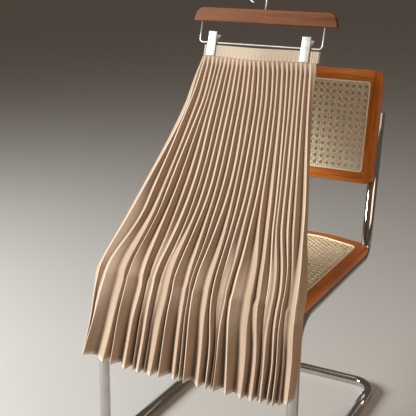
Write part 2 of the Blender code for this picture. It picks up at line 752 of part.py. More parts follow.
def band_wall(name, line, rib, finish, datum, group):
    """A waistband along the line: plain inside, ribbed outside where rib is not zero."""
    front = line[0][1] > 0
    half = BAND_WALL / 2 if front else -BAND_WALL / 2
    inner = beside(line, -half, BAND_MITRE)
    outer = []
    for index, point in enumerate(beside(line, half, BAND_MITRE)):
        out = point - Vector(line[index])
        outer.append(point + out.normalized() * rib * (index % 2))
    rows = []
    for down in (-BAND_HEIGHT, -BAND_HEIGHT / 2, 0.0):
        rows.append([[place(x, down, out) for x, out in side] for side in (outer, inner)])
    wall(name, rows, finish, datum, group)


def main():
    clear_scene()
    group = collection("pleated_skirt")
    datum = bpy.data.objects.new("chair_middle", None)
    datum.location = (CHAIR_X, CHAIR_Y, 0.0)
    group.objects.link(datum)
    rig = bpy.data.objects.new("waist_seam", None)
    rig.parent = datum
    rig.location = (0.0, *waist_seam())
    rig.rotation_euler.x = -HANGER_TILT
    group.objects.link(rig)
    build_chair(datum, group, collection("cutters"))
    build_hanger(rig, group)
    build_skirt(datum, group)


main()
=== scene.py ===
"""Looks of a pleated A-line skirt on a clip hanger, laid over the front of a cantilever cane chair.

Metres, +Z up, the chair's front towards -Y. Sizes are taken from the chair: x = 0 is its middle and
y = 0 its front legs, and CHAIR moves them to where they stand in the part's frame.
"""

import json
import logging
from collections.abc import Callable, Iterable, Sequence
from dataclasses import dataclass, field
from enum import Enum
from math import cos, exp, pi, radians, sin, tan

import bmesh
import bpy
from mathutils import Matrix, Quaternion, Vector

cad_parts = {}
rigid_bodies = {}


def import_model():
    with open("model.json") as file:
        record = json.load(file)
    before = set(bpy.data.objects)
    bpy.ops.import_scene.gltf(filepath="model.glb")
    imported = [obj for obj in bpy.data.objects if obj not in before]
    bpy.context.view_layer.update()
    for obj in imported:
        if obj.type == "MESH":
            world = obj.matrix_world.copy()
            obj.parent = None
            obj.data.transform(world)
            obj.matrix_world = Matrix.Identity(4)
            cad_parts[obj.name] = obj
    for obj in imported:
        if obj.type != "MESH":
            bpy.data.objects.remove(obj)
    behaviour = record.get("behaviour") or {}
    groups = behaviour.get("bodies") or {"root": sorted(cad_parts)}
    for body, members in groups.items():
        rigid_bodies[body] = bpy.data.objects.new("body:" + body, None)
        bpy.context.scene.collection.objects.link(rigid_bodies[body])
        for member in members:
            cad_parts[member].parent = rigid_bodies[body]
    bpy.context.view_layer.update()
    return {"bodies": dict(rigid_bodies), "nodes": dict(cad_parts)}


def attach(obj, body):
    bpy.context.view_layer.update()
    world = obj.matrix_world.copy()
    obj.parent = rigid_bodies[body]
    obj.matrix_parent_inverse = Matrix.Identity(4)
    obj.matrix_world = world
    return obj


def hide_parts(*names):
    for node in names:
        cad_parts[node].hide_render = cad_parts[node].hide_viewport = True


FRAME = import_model()

LOG = logging.getLogger("pleated_skirt")
MM = 0.001
CHAIR = Vector((-4.0 * MM, -256.4 * MM, 0.0))
WELD = 0.01 * MM
GAP = 0.3 * MM
SEAT_FRONT = -17.0 * MM
SEAT_TOP = 437.0 * MM
X_AXIS, Y_AXIS, Z_AXIS = (Vector(row) for row in Matrix.Identity(3))
FIBRE_ROUGH = 0.7

Triple = tuple[float, float, float]
Pair = tuple[float, float]
Cage = bmesh.types.BMesh
Socket = bpy.types.NodeSocket


class Slot(Enum):
    """The record's material slots."""

    CLOTH = "pleated_cloth"
    BAND = "waistband_cloth"
    BAR = "hanger_wood"
    WIRE = "hanger_steel"
    CLIP = "clip_steel"
    CHROME = "chrome_tube"
    WOOD = "chair_wood"
    CANE = "cane"


class Recipe:
    """A material's nodes, added one by one round its Principled BSDF."""

    def __init__(self, name: str) -> None:
        """Start an empty recipe.

        Args:
            name: the material's name.
        """
        self.material = bpy.data.materials.new(name)
        self.material.use_nodes = True
        self.tree = self.material.node_tree
        self.shader = self.tree.nodes["Principled BSDF"]

    def _fill(self, sockets: Iterable[Socket], values: Iterable[object]) -> None:
        """Link or set each of these inputs; a colour gets its alpha.

        Args:
            sockets: the inputs.
            values: a value or a socket for each.
        """
        for socket, value in zip(sockets, values):
            if isinstance(value, Socket):
                self.tree.links.new(value, socket)
            elif socket.type == "RGBA":
                socket.default_value = (*value, 1.0)
            else:
                socket.default_value = value

    def _fill_named(self, node: bpy.types.Node, values: dict[str, object]) -> None:
        """Link or set a node's inputs by their names; an underscore stands for a space."""
        self._fill([node.inputs[name.replace("_", " ")] for name in values], values.values())

    def set(self, **sockets: object) -> None:
        """Set the shader's own sockets; an underscore in a name stands for a space."""
        self._fill_named(self.shader, sockets)

    def add(self, kind: str, settings: dict[str, object] | None = None, **sockets: object) -> bpy.types.Node:
        """Add a node.

        Args:
            kind: the node's kind, without the word ShaderNode.
            settings: the node's own properties.
            sockets: values or sockets for its inputs; an underscore stands for a space.

        Returns:
            The node.
        """
        node = self.tree.nodes.new("ShaderNode" + kind)
        for key, value in (settings or {}).items():
            setattr(node, key, value)
        self._fill_named(node, sockets)
        return node

    def math(self, operation: str, first: object, second: object = 0.0) -> Socket:
        """Return the result of a Math node on two values or sockets.

        Args:
            operation: the node's operation.
            first: a value or a socket.
            second: a value or a socket.

        Returns:
            The result's socket.
        """
        node = self.add("Math", {"operation": operation})
        self._fill(node.inputs, (first, second))
        return node.outputs[0]

    def mix(self, share: object, first: object, second: object) -> Socket:
        """Mix two colours.

        Args:
            share: how much of the second, a value or a socket.
            first: a colour or a socket.
            second: a colour or a socket.

        Returns:
            The mixed colour's socket.
        """
        node = self.add("Mix", {"data_type": "RGBA"})
        self._fill([node.inputs[index] for index in (0, 6, 7)], (share, first, second))
        return node.outputs[2]

    def coordinates(self, scale: Triple = (1.0, 1.0, 1.0), flat: bool = False) -> Socket:
        """Return Object coordinates, or the piece's UV in metres where flat, times a scale."""
        source = self.add("TexCoord").outputs["UV" if flat else "Object"]
        return self.add("Mapping", Vector=source, Scale=scale).outputs[0]

    def noise(self, vector: object, scale: float, detail: float = 2.0, rough: float = 0.5) -> Socket:
        """Return the value of a Noise texture."""
        node = self.add("TexNoise", Vector=vector, Scale=scale, Detail=detail, Roughness=rough)
        return node.outputs[0]

    def attribute(self, name: str) -> Socket:
        """Return the value of a piece's own attribute."""
        return self.add("Attribute", {"attribute_name": name}).outputs["Fac"]

    def spread(
        self, value: object, low: float, high: float, to_low: float = 0.0, to_high: float = 1.0
    ) -> Socket:
        """Return a value mapped from one range to another.

        Args:
            value: a value or a socket.
            low: the first range's start.
            high: the first range's end.
            to_low: the second range's start.
            to_high: the second range's end.

        Returns:
            The mapped value's socket.
        """
        node = self.add("MapRange")
        self._fill(node.inputs, (value, low, high, to_low, to_high))
        return node.outputs[0]

    def relief(self, height: object, distance: float, strength: float = 1.0) -> None:
        """Raise the surface by a height, the distance in metres for a height of one.

        Args:
            height: a value or a socket.
            distance: the depth of a height of one.
            strength: how much of it shows.
        """
        before = self.shader.inputs["Normal"].links
        node = self.add("Bump", Height=height, Distance=distance, Strength=strength)
        if before:
            self.tree.links.new(before[0].from_socket, node.inputs["Normal"])
        self.tree.links.new(node.outputs[0], self.shader.inputs["Normal"])


@dataclass(frozen=True)
class Cloth:
    """Soft knit with a fine twill line, lighter with a painted highlight along its folds' ridges and at its
    cut edge, and darker with painted shade in its valleys.
    """

    name: str
    colour: Triple
    # colour of the painted highlight on the ridges and of the lighter cut edge; the fuzz flecks take it too
    painted_highlight: Triple
    drift: Pair = (0.94, 1.05)
    drift_scale: float = 9.0
    fuzz_scale: float = 420.0
    fuzz_share: float = 0.16
    fuzz_depth: float = 0.15 * MM
    # how much of the painted highlight shows
    highlight_share: float = 0.85
    # painted shade in the valleys: how much shows, and how dark it is as a share of the cloth's colour
    valley_shade_share: float = 0.6
    valley_shade_tone: float = 0.3
    twill: float = 1.5 * MM
    twill_depth: float = 0.12 * MM
    wave_unit: float = 0.222

    def _toned(self, factor: float) -> Triple:
        """Return the cloth's colour, darker or lighter by a factor."""
        return tuple(min(1.0, part * factor) for part in self.colour)

    def material(self) -> bpy.types.Material:
        """Build the cloth's material; its UV map is the flat cloth in metres.

        Returns:
            The material.
        """
        recipe = Recipe(self.name)
        flat = recipe.coordinates(flat=True)
        drift = recipe.spread(recipe.noise(recipe.coordinates(), self.drift_scale, 3.0), 0.3, 0.7)
        fuzz = recipe.spread(recipe.noise(flat, self.fuzz_scale, 4.0, FIBRE_ROUGH), 0.25, 0.75)
        tone = recipe.mix(drift, *(self._toned(factor) for factor in self.drift))
        # the fuzz flecks are the knit's own; a painted highlight lies on the ridge crowns and the cut edge,
        # and painted shade darkens the valleys
        layers = (
            (fuzz, self.fuzz_share, self.painted_highlight),
            (recipe.attribute("painted_highlight"), self.highlight_share, self.painted_highlight),
            (recipe.attribute("painted_valley_shade"), self.valley_shade_share, self._toned(self.valley_shade_tone)),
        )
        for where, share, colour in layers:
            tone = recipe.mix(recipe.math("MULTIPLY", where, share), tone, colour)
        recipe.set(Base_Color=tone, Roughness=0.86, Specular_IOR_Level=0.25)
        recipe.set(Sheen_Weight=0.18, Sheen_Roughness=0.45)
        scale = self.wave_unit / self.twill
        diagonal = {"bands_direction": "DIAGONAL"}
        line = recipe.add("TexWave", diagonal, Vector=flat, Scale=scale, Distortion=0.6, Detail=1.0)
        recipe.relief(line.outputs["Fac"], self.twill_depth, 0.6)
        recipe.relief(fuzz, self.fuzz_depth, 0.5)
        return recipe.material


@dataclass(frozen=True)
class Timber:
    """Stained wood under lacquer, its grain along one axis, or along the rails of a frame."""

    name: str
    light: Triple
    dark: Triple
    roughness: float
    coat: float
    stile_from: float | None = None
    grain: Pair = (3.0, 60.0)
    fibre: Pair = (9.0, 420.0)
    pore_share: float = 0.35
    pore_depth: float = 0.04 * MM

    def _streaks(self, recipe: Recipe, upright: bool) -> tuple[Socket, Socket]:
        """Return the noise of the grain and of the fibres, drawn out along x or across it.

        Args:
            recipe: the wood's recipe.
            upright: whether the grain runs across x.

        Returns:
            The sockets of the grain's and of the fibres' noise.
        """
        scales = []
        for along, across in (self.grain, self.fibre):
            scales.append((across, along, along) if upright else (along, across, across))
        grain, fibre = (recipe.coordinates(scale) for scale in scales)
        return recipe.noise(grain, 2.2, 5.0, 0.62), recipe.noise(fibre, 2.0, 3.0, FIBRE_ROUGH)

    def material(self) -> bpy.types.Material:
        """Build the wood's material; stile_from is the |x| from which the grain runs along y or z.

        Returns:
            The material.
        """
        recipe = Recipe(self.name)
        along, fibres = self._streaks(recipe, False)
        if self.stile_from is not None:
            up, strands = self._streaks(recipe, True)
            place = recipe.add("SeparateXYZ", Vector=recipe.coordinates()).outputs[0]
            side = recipe.math("ABSOLUTE", recipe.math("SUBTRACT", place, CHAIR.x))
            stile = recipe.math("GREATER_THAN", side, self.stile_from)
            along = recipe.mix(stile, along, up)
            fibres = recipe.mix(stile, fibres, strands)
        tone = recipe.mix(recipe.spread(along, 0.32, 0.68), self.dark, self.light)
        pores = recipe.spread(fibres, 0.42, 0.56)
        share = recipe.math("MULTIPLY", recipe.math("SUBTRACT", 1.0, pores), self.pore_share)
        rough = recipe.spread(along, 0.3, 0.7, self.roughness * 0.85, self.roughness * 1.15)
        recipe.set(Base_Color=recipe.mix(share, tone, self.dark), Roughness=rough, Specular_IOR_Level=0.25)
        recipe.set(Coat_Weight=self.coat, Coat_Roughness=0.12)
        recipe.relief(pores, self.pore_depth, 0.4)
        return recipe.material


@dataclass(frozen=True)
class Metal:
    """Bright metal with faint draw lines and smears."""

    name: str
    colour: Triple
    roughness: float
    metallic: float = 1.0
    lines: Triple = (300.0, 300.0, 20.0)
    line_depth: float = 0.01 * MM
    smear_scale: float = 30.0
    smear_tone: float = 0.9

    def material(self) -> bpy.types.Material:
        """Build the metal's material.

        Returns:
            The material.
        """
        recipe = Recipe(self.name)
        smear = recipe.noise(recipe.coordinates(), self.smear_scale, 4.0)
        drawn = recipe.noise(recipe.coordinates(self.lines), 1.0, 2.0)
        dull = tuple(part * self.smear_tone for part in self.colour)
        tone = recipe.mix(recipe.spread(smear, 0.35, 0.65), dull, self.colour)
        rough = recipe.spread(smear, 0.3, 0.7, self.roughness * 0.8, self.roughness * 1.3)
        recipe.set(Base_Color=tone, Metallic=self.metallic, Roughness=rough)
        recipe.relief(drawn, self.line_depth, 0.3)
        return recipe.material


@dataclass(frozen=True)
class Rattan:
    """Peeled cane: glossy straw, its tone changing from strand to strand."""

    name: str
    light: Triple
    dark: Triple
    strand_scale: float = 160.0
    patch_scale: float = 14.0
    patch_share: float = 0.25
    fibre_scale: float = 900.0
    fibre_depth: float = 0.05 * MM

    def material(self) -> bpy.types.Material:
        """Build the cane's material.

        Returns:
            The material.
        """
        recipe = Recipe(self.name)
        place = recipe.coordinates()
        strand = recipe.noise(place, self.strand_scale, 3.0, 0.6)
        patch = recipe.spread(recipe.noise(place, self.patch_scale), 0.35, 0.7, 0.0, self.patch_share)
        tone = recipe.mix(recipe.spread(strand, 0.3, 0.7), self.dark, self.light)
        rough = recipe.spread(strand, 0.3, 0.7, 0.38, 0.55)
        recipe.set(Base_Color=recipe.mix(patch, tone, self.dark), Roughness=rough)
        recipe.relief(recipe.noise(place, self.fibre_scale), self.fibre_depth, 0.5)
        return recipe.material


@dataclass(frozen=True)
class Ground:
    """Plain pale floor paint."""

    name: str = "pale_floor"
    dark: Triple = (0.52, 0.50, 0.475)
    light: Triple = (0.55, 0.53, 0.505)

    def material(self) -> bpy.types.Material:
        """Build the floor's material.

        Returns:
            The material.
        """
        recipe = Recipe(self.name)
        drift = recipe.noise(recipe.coordinates(), 1.5, 3.0)
        recipe.set(Base_Color=recipe.mix(drift, self.dark, self.light), Roughness=0.9)
        return recipe.material


class Bench:
    """Keeps the finishes and turns finished meshes into pieces of the part."""

    def __init__(self) -> None:
        """Build every finish once."""
        finishes = {
            # a cloth's second colour is its painted highlight's, also taken by the fuzz flecks
            Slot.CLOTH: Cloth("beige_pleated_cloth", (0.38, 0.25, 0.165), (0.83, 0.755, 0.635)),
            Slot.BAND: Cloth("beige_waistband_cloth", (0.44, 0.345, 0.26), (0.80, 0.69, 0.55)),
            Slot.BAR: Timber("walnut_bar", (0.22, 0.068, 0.018), (0.085, 0.024, 0.007), 0.6, 0.01),
            Slot.WIRE: Metal("drawn_wire", (0.74, 0.71, 0.67), 0.38, 0.5),
            Slot.CLIP: Metal("plated_clip", (0.66, 0.66, 0.64), 0.42, 0.5),
            Slot.CHROME: Metal("chrome", (0.60, 0.585, 0.57), 0.06),
            Slot.WOOD: Timber(
                "orange_brown_beech", (0.68, 0.215, 0.034), (0.36, 0.092, 0.013), 0.42, 0.12, 0.203
            ),
            Slot.CANE: Rattan("straw_cane", (0.98, 0.87, 0.62), (0.72, 0.54, 0.30)),
        }
        self.materials = {slot: finish.material() for slot, finish in finishes.items()}
        self.bead = Rattan("cream_spline", (0.95, 0.88, 0.74), (0.85, 0.74, 0.57)).material()

    def piece(
        self,
        name: str,
        cage: Cage,
        slot: Slot,
        replaced: Sequence[str] = (),
        finish: bpy.types.Material | None = None,
    ) -> bpy.types.Object:
        """Make a piece of the part from a cage whose sizes are taken from the chair.

        Args:
            name: the piece's name.
            cage: its mesh, which is freed.
            slot: the record slot it takes its finish from.
            replaced: CAD nodes that it stands for.
            finish: a material of its own.

        Returns:
            The piece, riding on the root body.
        """
        bmesh.ops.translate(cage, verts=cage.verts, vec=CHAIR)
        mesh = meshed(name, cage)
        mesh.shade_smooth()
        mesh.materials.append(finish or self.materials[slot])
        item = placed(name, mesh)
        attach(item, "root")
        if replaced:
            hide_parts(*replaced)
        LOG.info("%s: %d faces", name, len(mesh.polygons))
        return item

    def dress(self, node: str, slot: Slot) -> None:
        """Give a CAD node that stays its finish."""
        for holder in FRAME["nodes"][node].material_slots:
            holder.material = self.materials[slot]


def meshed(name: str, cage: Cage) -> bpy.types.Mesh:
    """Turn a cage into a mesh, and free it.

    Args:
        name: the mesh's name.
        cage: what it is made from.

    Returns:
        The mesh.
    """
    mesh = bpy.data.meshes.new(name)
    cage.to_mesh(mesh)
    cage.free()
    return mesh


def placed(name: str, data: bpy.types.ID) -> bpy.types.Object:
    """Put an object with this data in the scene.

    Args:
        name: the object's name.
        data: its mesh, light or camera.

    Returns:
        The object.
    """
    item = bpy.data.objects.new(name, data)
    bpy.context.scene.collection.objects.link(item)
    return item


def everything(cage: Cage) -> list[object]:
    """Return all that a mesh holds."""
    return [*cage.verts, *cage.edges, *cage.faces]


def verts_of(geom: Iterable[object]) -> list[bmesh.types.BMVert]:
    """Return the vertices among the things that an operator made."""
    return [part for part in geom if isinstance(part, bmesh.types.BMVert)]


def cloth_sheet(
    columns: int,
    rows: int,
    shape: Callable[[int, int], tuple[Vector, Pair, Pair]],
    turned: bool,
) -> Cage:
    """Lay a grid of cloth on a form.

    Args:
        columns: points across.
        rows: points down.
        shape: the place, the flat place and the painted highlight and painted shade shares of a point of the
            grid.
        turned: whether its outer side is the other one.

    Returns:
        The sheet; its UV map is the flat cloth in metres.
    """
    cage = bmesh.new()
    bmesh.ops.create_grid(cage, x_segments=columns - 1, y_segments=rows - 1, size=0.5, calc_uvs=True)
    uv_layer = cage.loops.layers.uv.verify()
    # each point's shares of painted highlight and painted shade
    layers = [cage.verts.layers.float.new(name) for name in ("painted_highlight", "painted_valley_shade")]
    flat: dict[bmesh.types.BMVert, Pair] = {}
    for vert in cage.verts:
        column = round((vert.co.x + 0.5) * (columns - 1))
        row = round((0.5 - vert.co.y) * (rows - 1))
        vert.co, flat[vert], shares = shape(column, row)
        for layer, share in zip(layers, shares):
            vert[layer] = share
    for face in cage.faces:
        for loop in face.loops:
            loop[uv_layer].uv = flat[loop.vert]
    if turned:
        bmesh.ops.reverse_faces(cage, faces=cage.faces)
    return cage


def thicken(item: bpy.types.Object, wall: float) -> None:
    """Give a sheet of cloth its thickness, half to each side.

    Args:
        item: the sheet's object.
        wall: the cloth's thickness.
    """
    modifier = item.modifiers.new("thickness", "SOLIDIFY")
    modifier.thickness = wall
    modifier.offset = 0.0


def running_lengths(points: Sequence[Vector]) -> list[float]:
    """Return how far along a line each of its points is.

    Args:
        points: the line's points.

    Returns:
        One length for each point, 0 for the first.
    """
    along = [0.0]
    for before, after in zip(points, points[1:]):
        along.append(along[-1] + (after - before).length)
    return along


def rounded_path(corners: Sequence[Sequence[float]], radii: Sequence[float], steps: int) -> list[Vector]:
    """Round the inner corners of a polyline.

    Args:
        corners: the polyline's points.
        radii: one radius for each inner corner.
        steps: spans in each arc.

    Returns:
        The points of the rounded line.
    """
    path = [Vector(corners[0])]
    for before, corner, after, radius in zip(corners, corners[1:], corners[2:], radii):
        corner = Vector(corner)
        back = (Vector(before) - corner).normalized()
        ahead = (Vector(after) - corner).normalized()
        half = back.angle(ahead) / 2
        centre = corner + (back + ahead).normalized() * radius / sin(half)
        start = corner + back * radius / tan(half) - centre
        turn = start.rotation_difference(corner + ahead * radius / tan(half) - centre)
        path += [centre + Quaternion().slerp(turn, step / steps) @ start for step in range(steps + 1)]
    path.append(Vector(corners[-1]))
    return path


def carried_frames(path: Sequence[Vector], side: Vector) -> list[Matrix]:
    """Frames along a path whose first axis stays as near as it can to where it was.

    Args:
        path: the points.
        side: the first frame's first axis.

    Returns:
        One matrix for each point, its third axis along the path.
    """
    frames = []
    for index, point in enumerate(path):
        ways = []
        if index > 0:
            ways.append((point - path[index - 1]).normalized())
        if index < len(path) - 1:
            ways.append((path[index + 1] - point).normalized())
        along = sum(ways, Vector()).normalized()
        side = (side - along * side.dot(along)).normalized()
        turned = Matrix((side, along.cross(side), along)).transposed()
        frames.append(Matrix.Translation(point) @ turned.to_4x4())
    return frames


def swept(
    path: Sequence[Vector],
    radius: float,
    sides: int,
    side: Vector,
    flat: float = 1.0,
    ring: bool = False,
) -> Cage:
    """Sweep a round or flattened section along a path.

    Args:
        path: the points; a ring ends on its first point.
        radius: the section's radius along its first axis.
        sides: facets round the section.
        side: the section's first axis at the start.
        flat: the section's second size as a share of the first.
        ring: whether the path closes on itself.

    Returns:
        The closed tube.
    """
    frames = carried_frames(path, side)
    if ring:
        frames[0] = frames[-1] = frames[0].lerp(frames[-1], 0.5)
    cage = bmesh.new()
    verts = bmesh.ops.create_circle(cage, cap_ends=not ring, segments=sides, radius=radius)["verts"]
    bmesh.ops.scale(cage, verts=verts, vec=(1.0, flat, 1.0))
    bmesh.ops.transform(cage, matrix=frames[0], verts=verts)
    edges = list(cage.edges)
    for before, after in zip(frames, frames[1:]):
        made = bmesh.ops.extrude_edge_only(cage, edges=edges)["geom"]
        verts = verts_of(made)
        held = set(verts)
        made_edges = [part for part in made if isinstance(part, bmesh.types.BMEdge)]
        edges = [edge for edge in made_edges if held.issuperset(edge.verts)]
        bmesh.ops.transform(cage, matrix=after @ before.inverted(), verts=verts)
    if not ring:
        bmesh.ops.contextual_create(cage, geom=edges)
    bmesh.ops.remove_doubles(cage, verts=cage.verts, dist=WELD)
    bmesh.ops.recalc_face_normals(cage, faces=cage.faces)
    return cage


def rims(cage: Cage, angle: float = 40.0) -> list[bmesh.types.BMEdge]:
    """Return the level edges of a flat solid that turn by more than this many degrees."""
    sharp = [edge for edge in cage.edges if edge.is_manifold and edge.calc_face_angle() > radians(angle)]
    return [edge for edge in sharp if abs(edge.verts[0].co.z - edge.verts[1].co.z) < WELD]


def round_edges(
    cage: Cage, edges: Iterable[bmesh.types.BMEdge], width: float, segments: int
) -> None:
    """Round the edges of a solid.

    Args:
        cage: the solid.
        edges: the edges to round.
        width: the bevel's offset.
        segments: spans across the round.
    """
    bmesh.ops.bevel(
        cage, geom=list(edges), offset=width, segments=segments, affect="EDGES", profile=0.5, material=-1,
        clamp_overlap=True,
    )


def outline_loop(
    cage: Cage, corners: Sequence[Pair], radii: Sequence[float], steps: int
) -> bmesh.types.BMFace:
    """Add a flat face whose corners are arcs.

    Args:
        cage: the mesh it is added to.
        corners: the outline's corners in the cage's xy plane.
        radii: one radius for each corner.
        steps: spans in each arc.

    Returns:
        The face.
    """
    others = set(cage.faces)
    verts = [cage.verts.new((x, y, 0.0)) for x, y in corners]
    bmesh.ops.contextual_create(cage, geom=verts)
    for vert, radius in zip(verts, radii):
        ways = [(edge.other_vert(vert).co - vert.co) for edge in vert.link_edges]
        offset = radius / tan(ways[0].angle(ways[1]) / 2)
        bmesh.ops.bevel(
            cage, geom=[vert], offset=offset, segments=steps, affect="VERTICES", profile=0.5, material=-1
        )
    return next(face for face in cage.faces if face not in others)


def extruded(cage: Cage, faces: Iterable[bmesh.types.BMFace], way: Vector) -> None:
    """Give faces a thickness and close the solid.

    Args:
        cage: the mesh it works on.
        faces: the faces.
        way: where the far side goes.
    """
    made = bmesh.ops.extrude_face_region(cage, geom=list(faces))["geom"]
    bmesh.ops.translate(cage, verts=verts_of(made), vec=way)
    bmesh.ops.recalc_face_normals(cage, faces=cage.faces)


def repeat(cage: Cage, count: int, step: Triple) -> None:
    """Repeat all that a mesh holds, this many times in all, each a step further.

    Args:
        cage: the mesh it works on.
        count: how many there are in the end.
        step: from one to the next.
    """
    tile = everything(cage)
    for index in range(1, count):
        made = bmesh.ops.duplicate(cage, geom=tile)["geom"]
        bmesh.ops.translate(cage, verts=verts_of(made), vec=[part * index for part in step])


@dataclass
class CanePanel:
    """A wooden frame with a woven cane panel and the spline round it, flat in its own xy plane."""

    name: str
    corners: Callable[[float], list[Pair]]
    radii: Callable[[float], list[float]]
    centre: Pair
    reach: Pair
    thickness: float
    place: Matrix
    rail: float = 27.0 * MM
    rounding: float = 5.0 * MM
    arc_steps: int = 10
    pitch: float = 14.5 * MM
    pair_share: float = 0.354
    lift_share: float = 0.9
    cross_share: float = 0.8
    strand: float = 2.0 * MM
    strand_depth: float = 0.65 * MM
    tuck_in: float = 7.0 * MM
    sunk: float = 2.6 * MM
    spline: float = 1.9 * MM
    spline_inset: float = 0.6 * MM
    spline_sunk: float = 1.2 * MM

    def frame(self) -> Cage:
        """The frame: two rounded outlines, bridged, given a thickness and rounded edges.

        Returns:
            The frame's mesh, in its place on the chair.
        """
        cage = bmesh.new()
        for inset in (0.0, self.rail):
            face = outline_loop(cage, self.corners(inset), self.radii(inset), self.arc_steps)
            bmesh.ops.delete(cage, geom=[face], context="FACES_ONLY")
        ring = bmesh.ops.bridge_loops(cage, edges=list(cage.edges))["faces"]
        extruded(cage, ring, Vector((0.0, 0.0, -self.thickness)))
        round_edges(cage, rims(cage), self.rounding, 5)
        bmesh.ops.transform(cage, matrix=self.place, verts=cage.verts)
        return cage

    def _ribbon(self, cage: Cage, start: Triple, end: Triple, lift: float) -> None:
        """Add one flat strand between two points, its middle lifted or lowered.

        Args:
            cage: the mesh that gets the strand.
            start: its first end.
            end: its other end.
            lift: how far its middle is lifted.
        """
        way = Vector(end) - Vector(start)
        strip = bmesh.new()
        bmesh.ops.create_cube(strip, size=1.0)
        bmesh.ops.bisect_plane(strip, geom=everything(strip), plane_co=(0.0, 0.0, 0.0), plane_no=X_AXIS)
        ends = [face for face in strip.faces if abs(face.normal.x) > 0.9]
        bmesh.ops.delete(strip, geom=ends, context="FACES_ONLY")
        middle = [vert for vert in strip.verts if abs(vert.co.x) < 0.1]
        bmesh.ops.scale(strip, verts=strip.verts, vec=(way.length, self.strand, self.strand_depth))
        bmesh.ops.translate(strip, verts=middle, vec=(0.0, 0.0, lift))
        turn = X_AXIS.rotation_difference(way.normalized())
        bmesh.ops.rotate(strip, verts=strip.verts, cent=(0.0, 0.0, 0.0), matrix=turn.to_matrix())
        bmesh.ops.translate(strip, verts=strip.verts, vec=(Vector(start) + Vector(end)) / 2)
        mesh = meshed("strand", strip)
        cage.from_mesh(mesh)
        bpy.data.meshes.remove(mesh)

    def weave(self) -> Cage:
        """Six way caning: pairs of strands both ways and diagonals that cut the corners of the holes.

        Returns:
            The woven mesh, cut to the frame and in its place.
        """
        cage = bmesh.new()
        half = self.pitch / 2
        lift = self.strand_depth * self.lift_share
        for side in (-1, 1):
            at = side * self.pitch * self.pair_share
            self._ribbon(cage, (at, -half, -lift / 2), (at, half, -lift / 2), side * lift)
            self._ribbon(cage, (-half, at, lift / 2), (half, at, lift / 2), -side * lift)
            for other in (-1, 1):
                bend = lift * side * other * self.cross_share
                self._ribbon(cage, (side * half, 0.0, lift), (0.0, other * half, lift), bend)
        columns, rows = (int(reach / self.pitch) + 1 for reach in self.reach)
        repeat(cage, columns, (self.pitch, 0.0, 0.0))
        repeat(cage, rows, (0.0, self.pitch, 0.0))
        bmesh.ops.remove_doubles(cage, verts=cage.verts, dist=WELD)
        x, y = (middle - self.pitch * (count - 1) / 2 for middle, count in zip(self.centre, (columns, rows)))
        bmesh.ops.translate(cage, verts=cage.verts, vec=(x, y, -self.sunk))
        corners = self.corners(self.rail - self.tuck_in)
        for (x, y), (next_x, next_y) in zip(corners, corners[1:] + corners[:1]):
            bmesh.ops.bisect_plane(
                cage, geom=everything(cage), plane_co=(x, y, 0.0), plane_no=(next_y - y, x - next_x, 0.0),
                clear_outer=True,
            )
        bmesh.ops.transform(cage, matrix=self.place, verts=cage.verts)
        return cage

    def bead(self) -> Cage:
        """The round spline that holds the cane in its groove at the inner edge of the rails.

        Returns:
            The spline's mesh, in its place.
        """
        cage = bmesh.new()
        inset = self.rail - self.spline_inset
        face = outline_loop(cage, self.corners(inset), self.radii(inset), 8)
        path = [vert.co.copy() for vert in face.verts]
        cage.free()
        path.append(path[0])
        tube = swept(path, self.spline, 10, Z_AXIS, ring=True)
        bmesh.ops.translate(tube, verts=tube.verts, vec=(0.0, 0.0, -self.spline_sunk))
        bmesh.ops.transform(tube, matrix=self.place, verts=tube.verts)
        return tube

    def build(self, bench: Bench) -> None:
        """Make the frame, the weave and the spline.

        Args:
            bench: makes the pieces.
        """
        bench.piece(self.name + "_frame_wood", self.frame(), Slot.WOOD, [self.name + "_frame"])
        bench.piece(self.name + "_cane_weave", self.weave(), Slot.CANE, [self.name + "_cane"])
        bench.piece(self.name + "_cane_spline", self.bead(), Slot.CANE, finish=bench.bead)


